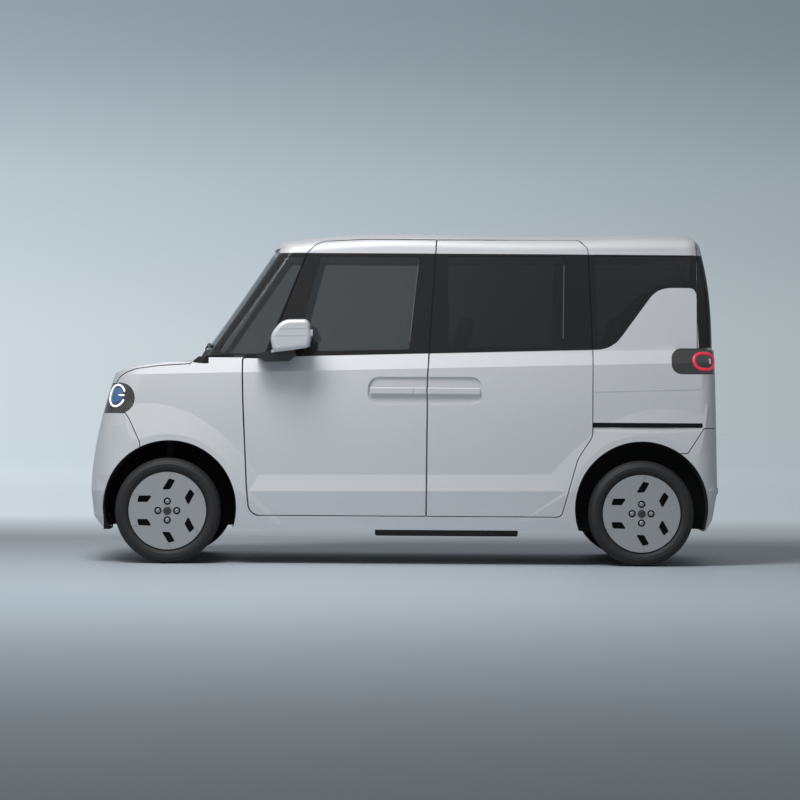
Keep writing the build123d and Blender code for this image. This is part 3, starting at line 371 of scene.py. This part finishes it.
def spots_on_skin(node_name, starts, direction):
    """Where the lines from starts meet the node; a line that passes it by gives no spot."""
    spots = [on_skin(node_name, start, direction) for start in starts]
    return [spot for spot in spots if spot is not None]


def laid_line(node_name, place, spots, lift):
    """Points (u, v) about a place on the node's skin, dropped on the skin and lifted off it."""
    centre, out, level_way = place
    starts = [centre + level_way * u + Vector((0, 0, v)) + out * drop_height for u, v in spots]
    return [spot + out * lift for spot in spots_on_skin(node_name, starts, -out)]


def round_spots(radius, turns):
    return [(radius * math.cos(turn), radius * math.sin(turn)) for turn in turns]


def tube(name, path, radius, material, closed=False):
    data = bpy.data.curves.new(name, "CURVE")
    data.dimensions = "3D"
    data.bevel_depth = radius
    data.bevel_resolution = 4
    data.use_fill_caps = True
    strand = data.splines.new("POLY")
    strand.points.add(len(path) - 1)
    for point, spot in zip(strand.points, path):
        point.co = (*spot, 1)
    strand.use_cyclic_u = closed
    piece = put_in(name, data)
    pick(piece)
    bpy.ops.object.convert(target="MESH")
    bpy.ops.object.shade_smooth_by_angle(angle=edge_angle)
    piece.data.materials.append(material)
    return piece


def flipped(points):
    return [Vector((p[0], -p[1], p[2])) for p in points]


edge_angle = 0.6
drop_height = 0.3
dress(new_material("lamp_black", (0.012, 0.012, 0.014), 0.12, coat=1.0), "headlamps")
light_guide = glowing("light_guide", (0.9, 0.92, 0.95), 0.2, (0.85, 0.93, 1.0), 1.1)
# The lens's faint blue glow is a painted highlight, in place of light caught in its blue coating.
blue_lens_painted_glint = glowing("blue_lens_painted_glint", (0.02, 0.08, 0.24), 0.08, (0.05, 0.16, 0.42), 0.25, coat=1.0)
lamp_face = (Vector((-1.562, -0.694, 0.8915)), Vector((-0.605, -0.797, 0)).normalized(),
             Vector((0.797, -0.605, 0)).normalized())
ring_radius, ring_steps, ring_from, ring_sweep = 0.057, 40, 22, 316
ring_turns = [math.radians(ring_from + step * ring_sweep / ring_steps) for step in range(ring_steps + 1)]
bar_start, bar_step, bar_level = 0.012, 0.006, 0.002
bar_spots = [(bar_start + bar_step * step, bar_level) for step in range(8)]
lens_sides = 24
lens_turns = [2 * math.pi * step / lens_sides for step in range(lens_sides)]
lens_radii = (0.044, 0.036, 0.026, 0.014)
lens_lifts = (0.0002, 0.002, 0.0035, 0.0045)
for side_name, turn_over in (("left", list), ("right", flipped)):
    ring = laid_line("headlamps", lamp_face, round_spots(ring_radius, ring_turns), 0.0)
    bar = laid_line("headlamps", lamp_face, bar_spots, 0.0)
    guide = tube("light_guide_" + side_name, turn_over(ring), 0.0050, light_guide)
    stub = tube("light_bar_" + side_name, turn_over(bar), 0.0044, light_guide)
    for piece in (guide, stub):
        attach(piece, "body")
    corners, faces = [], []
    for radius, lift in zip(lens_radii, lens_lifts):
        corners += turn_over(laid_line("headlamps", lamp_face, round_spots(radius, lens_turns), lift))
    for outer in range(0, len(corners) - lens_sides, lens_sides):
        inner = outer + lens_sides
        for step in range(lens_sides):
            after = (step + 1) % lens_sides
            faces.append((outer + step, outer + after, inner + after, inner + step))
    faces.append(tuple(range(inner, inner + lens_sides)))
    if side_name == "right":
        faces = [tuple(reversed(face)) for face in faces]
    mesh = bpy.data.meshes.new("lens_" + side_name)
    mesh.from_pydata(corners, [], faces)
    mesh.shade_smooth()
    mesh.materials.append(blue_lens_painted_glint)
    lens = put_in("lens_" + side_name, mesh)
    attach(lens, "body")


# Tail lamps: black glossy capsules round the rear corners, each with a raised red light ring. A small clear
# reversing lamp stands inside the ring. Both are bonded to the capsule.
dress(new_material("tail_lamp_black", (0.012, 0.012, 0.013), 0.12, coat=1.0), "tail_lamps")
red_ring = glowing("red_ring", (0.75, 0.01, 0.05), 0.25, (1.0, 0.02, 0.08), 0.35, coat=0.5)
clear_lamp = new_material("clear_lamp", (0.6, 0.62, 0.65), 0.08, coat=1.0)
tail_face = (Vector((1.6005, -0.685, 1.093)), Vector((0.40, -0.9165, 0)).normalized(),
             Vector((0.9165, 0.40, 0)).normalized())
ring_high, ring_long, ring_straight, ring_sink = 0.0425, 0.046, 0.012, -0.003
oval_steps = 48
oval = []
for step in range(oval_steps):
    turn = 2 * math.pi * step / oval_steps
    shift = math.copysign(ring_straight, math.cos(turn))
    oval.append((shift + ring_long * math.cos(turn), ring_high * math.sin(turn)))
reverse_spots, reverse_sink = [(0.030, -0.014), (0.030, 0.0), (0.030, 0.014)], -0.004
for side_name, turn_over in (("left", list), ("right", flipped)):
    ring_path = turn_over(laid_line("tail_lamps", tail_face, oval, ring_sink))
    lamp_path = turn_over(laid_line("tail_lamps", tail_face, reverse_spots, reverse_sink))
    band = tube("tail_ring_" + side_name, ring_path, 0.0088, red_ring, closed=True)
    lamp = tube("reverse_lamp_" + side_name, lamp_path, 0.009, clear_lamp)
    for piece in (band, lamp):
        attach(piece, "body")


# Number plates, blank: thin pressed sheets with a raised rim on a plastic carrier. The front one stands on
# the bumper, and the rear one lies in the recess of the tailgate. Each is held by two bolts.
def softened(name, round_off, segments, size=(1, 1, 1), smooth_below=None):
    """Gives the block just added its name and size, and rounds its edges."""
    piece = bpy.context.object
    piece.name = name
    piece.scale = size
    bpy.ops.object.transform_apply(location=True, rotation=True, scale=True)
    bevel = piece.modifiers.new("rounding", "BEVEL")
    bevel.width = round_off
    bevel.segments = segments
    bevel.limit_method = "ANGLE"
    bpy.ops.object.modifier_apply(modifier="rounding")
    if smooth_below is not None:
        bpy.ops.object.shade_smooth_by_angle(angle=smooth_below)
    return piece


def rounded_slab(name, centre, size, round_off, material, tilt=0.0):
    deselect()
    bpy.ops.mesh.primitive_cube_add(size=1, location=centre, rotation=(0, tilt, 0))
    slab = softened(name, round_off, 3, size, edge_angle)
    slab.data.materials.append(material)
    return slab


past_the_ends = 2.2
plate_sheet = new_material("plate_sheet", (0.62, 0.62, 0.60), 0.45)
plate_bolt = new_material("plate_bolt", (0.35, 0.35, 0.36), 0.35, 1.0)
plate_size, plate_off, plate_y = (0.003, 0.330, 0.160), 0.006, 0.10
carrier_size, carrier_behind = (0.012, 0.300, 0.120), 0.006
bolt_size, bolt_before = (0.005, 0.014, 0.014), 0.003
bolt_side, bolt_rise = 0.105, 0.052
rim_width, rim_edge = 0.006, 0.001
plate_places = (
    ("front", "front_bumper", -1, 0.598, 0.758, "body"),
    ("rear", "tailgate", 1, 0.757, 0.917, "tailgate"),
)
for end, node_name, facing, low, high, body_name in plate_places:
    foot = on_skin(node_name, (past_the_ends * facing, plate_y, low), (-facing, 0, 0))
    head = on_skin(node_name, (past_the_ends * facing, plate_y, high), (-facing, 0, 0))
    tilt = math.atan2(head.x - foot.x, high - low)
    plate_x = (foot.x + head.x) / 2 + plate_off * facing
    plate_z = (foot.z + head.z) / 2
    plate = rounded_slab("number_plate_" + end, (plate_x, 0, plate_z), plate_size, 0.0012, plate_sheet, tilt)
    pick(plate)
    for face in plate.data.polygons:
        face.select = face.normal.x * facing > 0.9 and face.area > 0.03
    bpy.ops.object.mode_set(mode="EDIT")
    bpy.ops.mesh.inset(thickness=rim_width, depth=0.0)
    bpy.ops.mesh.inset(thickness=rim_edge, depth=-rim_edge)
    bpy.ops.object.mode_set(mode="OBJECT")
    back = rounded_slab("plate_carrier_" + end, (plate_x - carrier_behind * facing, 0, plate_z),
                        carrier_size, 0.002, black_plastic, tilt)
    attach(plate, body_name)
    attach(back, body_name)
    for side in (-1, 1):
        bolt_x = plate_x + bolt_before * facing + math.sin(tilt) * bolt_rise
        bolt = rounded_slab(f"plate_bolt_{end}_{'left' if side < 0 else 'right'}",
                            (bolt_x, side * bolt_side, plate_z + bolt_rise), bolt_size, 0.0022, plate_bolt,
                            tilt)
        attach(bolt, body_name)


# Tail trim: a moulded grip across the tailgate above the plate, a high stop lamp under the roof edge, and a
# red reflector at each end of the bumper, all snapped into their panels.
reflector_red = new_material("reflector_red", (0.45, 0.01, 0.02), 0.15, coat=1.0)
grip_level = 0.966
grip_x = on_skin("tailgate", (past_the_ends, 0, grip_level), (-1, 0, 0)).x - 0.001
grip = rounded_slab("tailgate_grip", (grip_x, 0, grip_level), (0.016, 0.300, 0.034), 0.005, black_plastic)
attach(grip, "tailgate")
stop_level, stop_tilt = 1.700, 0.35
stop_x = on_skin("tailgate", (past_the_ends, 0, stop_level), (-1, 0, 0)).x - 0.001
stop_lamp = rounded_slab("high_stop_lamp", (stop_x, 0, stop_level), (0.010, 0.240, 0.016), 0.003,
                         reflector_red, stop_tilt)
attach(stop_lamp, "tailgate")
reflector_side, reflector_level = 0.50, 0.40
for side_name, sign in (("left", -1), ("right", 1)):
    reflector_y = reflector_side * sign
    reflector_x = on_skin("rear_bumper", (past_the_ends, reflector_y, reflector_level), (-1, 0, 0)).x - 0.002
    reflector = rounded_slab("reflector_" + side_name, (reflector_x, reflector_y, reflector_level),
                             (0.012, 0.110, 0.034), 0.005, reflector_red)
    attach(reflector, "body")


# Wipers: bent steel arms with a rubber blade, painted black. The two front arms turn at the scuttle, and the
# short rear one turns in the tailgate below the glass.
def wiper(name, foot, rest, glass_name, facing, body_name):
    """One arm from its pivot on foot up to the middle of a blade that rests along the points in rest."""
    foot = Vector(foot)
    starts = [(past_the_ends * facing, y, z) for y, z in rest]
    on_glass = spots_on_skin(glass_name, starts, (-facing, 0, 0))
    blade_path = [spot + Vector((blade_off * facing, 0, blade_rise)) for spot in on_glass]
    middle = blade_path[len(blade_path) // 2]
    knee = (foot + middle) / 2 + Vector((0.012 * facing, 0, 0.010))
    blade = tube(name + "_blade", blade_path, 0.0055, wiper_black)
    arm = tube(name + "_arm", [foot, knee, middle], 0.0045, wiper_black)
    pivot_path = [foot - Vector((0, 0, 0.022)), foot + Vector((0, 0, 0.008))]
    pivot = tube(name + "_pivot", pivot_path, 0.012, wiper_black)
    for piece in (blade, arm, pivot):
        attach(piece, body_name)


def steady(start, end, count):
    return [(start[0] + (end[0] - start[0]) * step / count, start[1] + (end[1] - start[1]) * step / count)
            for step in range(count + 1)]


wiper_black = new_material("wiper_black", (0.01, 0.01, 0.011), 0.45)
blade_off, blade_rise = 0.009, 0.004
left_rest = steady((-0.56, 1.158), (0.02, 1.176), 10)
right_rest = steady((0.02, 1.158), (0.50, 1.170), 10)
rear_rest = steady((-0.14, 1.214), (0.16, 1.222), 8)
wiper("wiper_front_left", (-1.092, 0.10, 1.112), left_rest, "front_glass", -1, "body")
wiper("wiper_front_right", (-1.088, 0.52, 1.112), right_rest, "front_glass", -1, "body")
wiper("wiper_rear", (1.678, 0.0, 1.172), rear_rest, "tailgate_glass", 1, "tailgate")


# Door glass channels and handle joints: a bright steel run channel shows at the rear edge of each side
# pane. A fine joint parts the fixed and the pulled half of the front door's handle.
def side_line(name, node_name, start, end, radius, material, sunk, bodies):
    """A straight strand seen from the side, laid on the left skin and repeated on the right."""
    starts = [(x, -beside, z) for x, z in steady(start, end, 12)]
    path = [spot + Vector((0, sunk, 0)) for spot in spots_on_skin(node_name, starts, (0, 1, 0))]
    for side_name, turn_over, body_name in (("left", list, bodies[0]), ("right", flipped, bodies[1])):
        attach(tube(f"{name}_{side_name}", turn_over(path), radius, material), body_name)


beside = 1.2
channel_steel = new_material("channel_steel", (0.16, 0.165, 0.17), 0.35, 0.6)
side_line("front_channel", "front_door_glass_left", (0.0265, 1.150), (0.0785, 1.640), 0.0034,
          channel_steel, 0.0, ("door_left", "door_right"))
side_line("sliding_channel", "rear_side_glass", (0.8475, 1.170), (0.8535, 1.644), 0.0030,
          channel_steel, 0.0, ("body", "body"))
joint_dark = new_material("joint_dark", (0.05, 0.052, 0.055), 0.7)
side_line("handle_joint", "front_door_left", (0.050, 0.9095), (0.050, 0.9425), 0.0011,
          joint_dark, 0.0006, ("door_left", "door_right"))


# Door mirrors: a white shell with two grooves on a black foot; the grooves are drawn as grey strands of
# painted shade. A slim clear turn lamp stands out behind the shell, and a mirror glass faces the driver.
# Both are clipped into the shell.
mirror_paint = new_material("mirror_paint", body_white, 0.45, 0.25, coat=0.5)
tree = mirror_paint.node_tree
along, across, height = place_of(tree)
foot_slope, foot_level = 0.115, 1.204
root_side, root_front, root_top = 0.749, -0.700, 1.145
shell_low = work_out(tree, "MULTIPLY_ADD", along, foot_slope, foot_level)
shell_foot = work_out(tree, "LESS_THAN", height, shell_low)
root = work_out(tree, "LESS_THAN", work_out(tree, "ABSOLUTE", across), root_side)
root = work_out(tree, "MAXIMUM", root, work_out(tree, "LESS_THAN", along, root_front))
root = work_out(tree, "MULTIPLY", root, work_out(tree, "LESS_THAN", height, root_top))
two_tone(mirror_paint, work_out(tree, "MAXIMUM", shell_foot, root), (0.012, 0.012, 0.013), 0.4, 0.0)
dress(mirror_paint, "mirror_left", "mirror_right")
# Painted shade: the grey strands darken the shell's grooves where shade falls in them.
groove_shade_grey = new_material("mirror_groove_shade", (0.13, 0.135, 0.14), 0.5)
mirror_glass = new_material("mirror_glass", (0.75, 0.78, 0.8), 0.02, 1.0)
groove_levels, groove_climb, groove_sunk = (1.2085, 1.2455), 0.003, 0.001
groove_start, groove_step, groove_steps = -0.695, 0.0131, 15
pane_size, pane_place = (0.004, 0.150, 0.118), (-0.4955, -0.838, 1.213)
turn_lamp_size, turn_lamp_place = (0.014, 0.060, 0.036), (-0.4865, -0.892, 1.2265)
for side_name, sign in (("left", 1), ("right", -1)):
    for level in groove_levels:
        starts = [(groove_start + step * groove_step, -beside, level + groove_climb * step / groove_steps)
                  for step in range(groove_steps + 1)]
        spots = [Vector((spot.x, (spot.y + groove_sunk) * sign, spot.z))
                 for spot in spots_on_skin("mirror_left", starts, (0, 1, 0))]
        groove = tube(f"mirror_groove_shade_{side_name}_{round(level * 1000)}", spots, 0.0014, groove_shade_grey)
        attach(groove, "door_" + side_name)
    x, y, z = pane_place
    bpy.ops.mesh.primitive_cube_add(size=1, location=(x, y * sign, z))
    pane = softened("mirror_pane_" + side_name, 0.0018, 2, pane_size)
    pane.data.materials.append(mirror_glass)
    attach(pane, "door_" + side_name)
    x, y, z = turn_lamp_place
    turn_lamp = rounded_slab("turn_lamp_" + side_name, (x, y * sign, z), turn_lamp_size, 0.004, clear_lamp)
    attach(turn_lamp, "door_" + side_name)


# Wheels: pressed steel behind a silver cover with six slots. Four chrome nuts stand in round wells about a
# black centre cap. Inside, the barrel and web are painted black.
def turned(sides, radius, depth, centre):
    deselect()
    bpy.ops.mesh.primitive_cylinder_add(vertices=sides, radius=radius, depth=depth, location=centre,
                                        rotation=(math.pi / 2, 0, 0))


cover_silver = new_material("cover_silver", (0.42, 0.43, 0.445), 0.36, 0.4)
tree = cover_silver.node_tree
along, across, height = place_of(tree)
cover_back = 0.7190
deep = work_out(tree, "LESS_THAN", work_out(tree, "ABSOLUTE", across), cover_back)
two_tone(cover_silver, deep, (0.008, 0.008, 0.009), 0.6, 0.0)
dress(cover_silver, "wheel_front_left", "wheel_front_right", "wheel_rear_left", "wheel_rear_right")
chrome = new_material("chrome", (0.36, 0.37, 0.38), 0.28, 1.0)
cap_black = new_material("cap_black", (0.02, 0.02, 0.022), 0.25, coat=0.6)
axle_z = 0.281
wheel_places = [(end, side_name, axle_x, sign) for end, axle_x in (("front", -1.252), ("rear", 1.268))
                for side_name, sign in (("left", -1), ("right", 1))]
hub_face = 0.7275
cap_radius, cap_depth, cap_out = 0.0215, 0.006, 0.0018
nut_radius, nut_depth, nut_in = 0.0118, 0.012, 0.0035
stud_circle, studs = 0.05, 4
for end, side_name, axle_x, sign in wheel_places:
    turned(48, cap_radius, cap_depth, (axle_x, (hub_face + cap_out) * sign, axle_z))
    cap = softened(f"centre_cap_{end}_{side_name}", 0.0015, 3, smooth_below=edge_angle)
    cap.data.materials.append(cap_black)
    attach(cap, f"wheel_{end}_{side_name}")
    for turn in range(studs):
        x = axle_x + stud_circle * math.cos(turn * 2 * math.pi / studs)
        z = axle_z + stud_circle * math.sin(turn * 2 * math.pi / studs)
        turned(6, nut_radius, nut_depth, (x, (hub_face - nut_in) * sign, z))
        nut = softened(f"wheel_nut_{end}_{side_name}_{turn}", 0.0022, 3, smooth_below=0.8)
        nut.data.materials.append(chrome)
        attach(nut, f"wheel_{end}_{side_name}")


# Cover lines: the shallow lines that run from the outer corners of the slots to the rim, one on each side of
# three ribs of the cover. Each is a thin grey strand laid on the face, in place of a pressed groove: painted
# shade, the groove's silver as seen in shade.
# Painted shade: the strands are the cover's silver darkened as if in the shade of a groove.
line_shade_grey = new_material("cover_line_shade", (0.17, 0.175, 0.18), 0.5)
line_start, line_end, line_side = 0.154, 0.186, 0.083
line_face = 0.7278
rib_turns = (math.radians(60), math.radians(180), math.radians(300))
for end, side_name, axle_x, sign in wheel_places:
    strands = []
    for turn in rib_turns:
        for v in (line_side, -line_side):
            path = [Vector((axle_x + u * math.cos(turn) - v * math.sin(turn), line_face * sign,
                            axle_z + u * math.sin(turn) + v * math.cos(turn)))
                    for u in (line_start, line_end)]
            strands.append(tube("cover_line_shade", path, 0.0009, line_shade_grey))
    pick(*strands)
    bpy.ops.object.join()
    strands[0].name = f"cover_lines_{end}_{side_name}"
    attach(strands[0], f"wheel_{end}_{side_name}")


# Tyres: black rubber, each a closed ring spun about the axle from its section. Four grooves run round the
# tread, and the bands beside them are cut into low blocks.
tyre_section = [
    (0.190, 0.057), (0.211, 0.068), (0.224, 0.0795), (0.232, 0.0824), (0.246, 0.0818), (0.2475, 0.0826),
    (0.249, 0.0814), (0.258, 0.0786), (0.266, 0.0745), (0.2725, 0.0690), (0.2762, 0.0610),
    (0.2776, 0.0385), (0.2715, 0.0375), (0.2715, 0.0345), (0.2780, 0.0335), (0.2780, 0.0130),
    (0.2715, 0.0120), (0.2715, 0.0090), (0.2780, 0.0080),
]
tread_steps = 84
tread_from, block_area = 0.2755, 0.00018
block_edge, block_rise = 0.0013, 0.0026
tyre_middle = 0.6525
tyre_rubber = new_material("tyre_rubber", (0.008, 0.008, 0.009), 0.62)
ring_corners = [(0, -y, r) for r, y in tyre_section] + [(0, y, r) for r, y in reversed(tyre_section)]
ring_edges = [(step, (step + 1) % len(ring_corners)) for step in range(len(ring_corners))]
tyre_mesh = bpy.data.meshes.new("tyre_section")
tyre_mesh.from_pydata(ring_corners, ring_edges, [])
tyre_pattern = put_in("tyre_pattern", tyre_mesh)
pick(tyre_pattern)
bpy.ops.object.mode_set(mode="EDIT")
bpy.ops.mesh.select_all(action="SELECT")
bpy.ops.mesh.spin(steps=tread_steps, angle=2 * math.pi, center=(0, 0, 0), axis=(0, 1, 0))
bpy.ops.mesh.select_all(action="SELECT")
bpy.ops.mesh.remove_doubles(threshold=0.00005)
bpy.ops.mesh.normals_make_consistent(inside=False)
bpy.ops.mesh.select_mode(type="FACE")
bpy.ops.mesh.select_all(action="DESELECT")
bpy.ops.object.mode_set(mode="OBJECT")
for face in tyre_pattern.data.polygons:
    face.select = math.hypot(face.center.x, face.center.z) > tread_from and face.area > block_area
bpy.ops.object.mode_set(mode="EDIT")
bpy.ops.mesh.inset(thickness=block_edge, depth=block_rise, use_individual=True)
bpy.ops.object.mode_set(mode="OBJECT")
bpy.ops.object.shade_smooth_by_angle(angle=0.5)
tyre_pattern.data.materials.append(tyre_rubber)
for end, side_name, axle_x, sign in wheel_places:
    fitted = put_in(f"tyre_tread_{end}_{side_name}", tyre_pattern.data.copy())
    fitted.data.transform(Matrix.Translation((axle_x, tyre_middle * sign, axle_z)))
    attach(fitted, f"wheel_{end}_{side_name}")
    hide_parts(f"tyre_{end}_{side_name}")
bpy.data.objects.remove(tyre_pattern)


# Seats: foam pads under a grey woven cover. Each pad is blown up from a slightly smaller block, so that its
# sides pull in between the corners. Sewn lines then cross the middle panel, between two side bolsters.
def blown_pad(name, size, corner, most):
    """A closed pad of that size about the origin, whose cover swells by no more than most."""
    deselect()
    bpy.ops.mesh.primitive_cube_add(size=1)
    pad = softened(name, corner, 4, size)
    remesh = pad.modifiers.new("even_mesh", "REMESH")
    remesh.mode = "VOXEL"
    remesh.voxel_size = cover_mesh
    bpy.ops.object.modifier_apply(modifier="even_mesh")
    cover = pad.modifiers.new("cover", "CLOTH")
    cover.settings.use_pressure = True
    cover.settings.uniform_pressure_force = cover_pressure
    cover.settings.effector_weights.gravity = 0
    for frame_number in range(1, blow_frames + 1):
        bpy.context.scene.frame_set(frame_number)
    blown = pad.evaluated_get(bpy.context.evaluated_depsgraph_get())
    swollen = [corner_point.co.copy() for corner_point in blown.data.vertices]
    pad.modifiers.remove(cover)
    bpy.context.scene.frame_set(1)
    for corner_point, goal in zip(pad.data.vertices, swollen):
        move = goal - corner_point.co
        if move.length > most:
            move *= most / move.length
        corner_point.co += move
    smooth = pad.modifiers.new("smooth", "SUBSURF")
    smooth.levels = 1
    smooth.render_levels = 1
    bpy.ops.object.modifier_apply(modifier="smooth")
    pad.data.shade_smooth()
    pad.data.materials.append(seat_cloth)
    return pad


def sewn(pad, thick_axis, long_axis, top, lines):
    """Presses sewn lines into the side of a pad that faces top, and leaves a bolster along each edge."""
    for point in pad.data.vertices:
        if point.co[thick_axis] * top < top_from:
            continue
        across = abs(point.co.y)
        rise = min(max((across - bolster_from) / bolster_slope, 0.0), 1.0)
        sink = panel_sink * (1 - rise * rise * (3 - 2 * rise))
        sink += edge_seam * math.exp(-((across - bolster_from) / seam_width) ** 2)
        if across < bolster_from:
            for line in lines:
                sink += cross_seam * math.exp(-((point.co[long_axis] - line) / seam_width) ** 2)
        point.co[thick_axis] -= sink * top


seat_cloth = grained("seat_cloth", (0.075, 0.077, 0.082), 0.95, 1400, 0.0006)
seat_cloth.node_tree.nodes["Principled BSDF"].inputs["Sheen Weight"].default_value = 0.3
cover_mesh, cover_pressure, blow_frames = 0.012, 4, 20
top_from, panel_sink = 0.01, 0.010
bolster_from, bolster_slope = 0.150, 0.05
edge_seam, cross_seam, seam_width = 0.006, 0.005, 0.006
cushion_pattern = blown_pad("seat_cushion_pattern", (0.458, 0.448, 0.112), 0.034, 0.009)
sewn(cushion_pattern, 2, 0, 1, (-0.12, -0.03, 0.06))
back_pattern = blown_pad("seat_back_pattern", (0.092, 0.448, 0.578), 0.032, 0.008)
sewn(back_pattern, 0, 2, -1, (-0.17, -0.06, 0.05, 0.16))
rest_pattern = blown_pad("head_rest_pattern", (0.078, 0.236, 0.164), 0.032, 0.005)
post_steel = new_material("post_steel", (0.5, 0.5, 0.51), 0.25, 1.0)
seat_side = 0.310
cushion_ahead, cushion_rise = -0.240, 0.065
hinge_behind, hinge_rise = 0.0997, 0.020
lean = Matrix.Rotation(math.radians(14), 4, "Y")
back_ahead, back_rise = -0.055, 0.300
rest_ahead, rest_rise = -0.050, 0.701
post_side, post_foot, post_top = 0.060, 0.585, 0.640
for row_name, seat_x, seat_low in (("front", 0.110, 0.535), ("rear", 0.960, 0.560)):
    for side_name, sign in (("left", -1), ("right", 1)):
        seat_y = seat_side * sign
        flat = Matrix.Translation((seat_x + cushion_ahead, seat_y, seat_low + cushion_rise))
        leaning = Matrix.Translation((seat_x + hinge_behind, seat_y, seat_low + hinge_rise)) @ lean
        back_place = leaning @ Matrix.Translation((back_ahead, 0, back_rise))
        rest_place = leaning @ Matrix.Translation((rest_ahead, 0, rest_rise))
        pads = (
            ("cushion", cushion_pattern, flat, "seat_cushions"),
            ("back", back_pattern, back_place, "seat_backs"),
            ("head_rest", rest_pattern, rest_place, "seat_backs"),
        )
        for pad_name, pattern, place, node_name in pads:
            pad = put_in(f"seat_{pad_name}_{row_name}_{side_name}", pattern.data.copy())
            pad.data.transform(place)
            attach(pad, "body")
            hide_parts(node_name)
        for post_y in (-post_side, post_side):
            post_name = "in" if post_y * sign < 0 else "out"
            ends = [leaning @ Vector((rest_ahead, post_y, level)) for level in (post_foot, post_top)]
            post = tube(f"head_rest_post_{row_name}_{side_name}_{post_name}", ends, 0.006, post_steel)
            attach(post, "body")
for pattern in (cushion_pattern, back_pattern, rest_pattern):
    bpy.data.objects.remove(pattern)
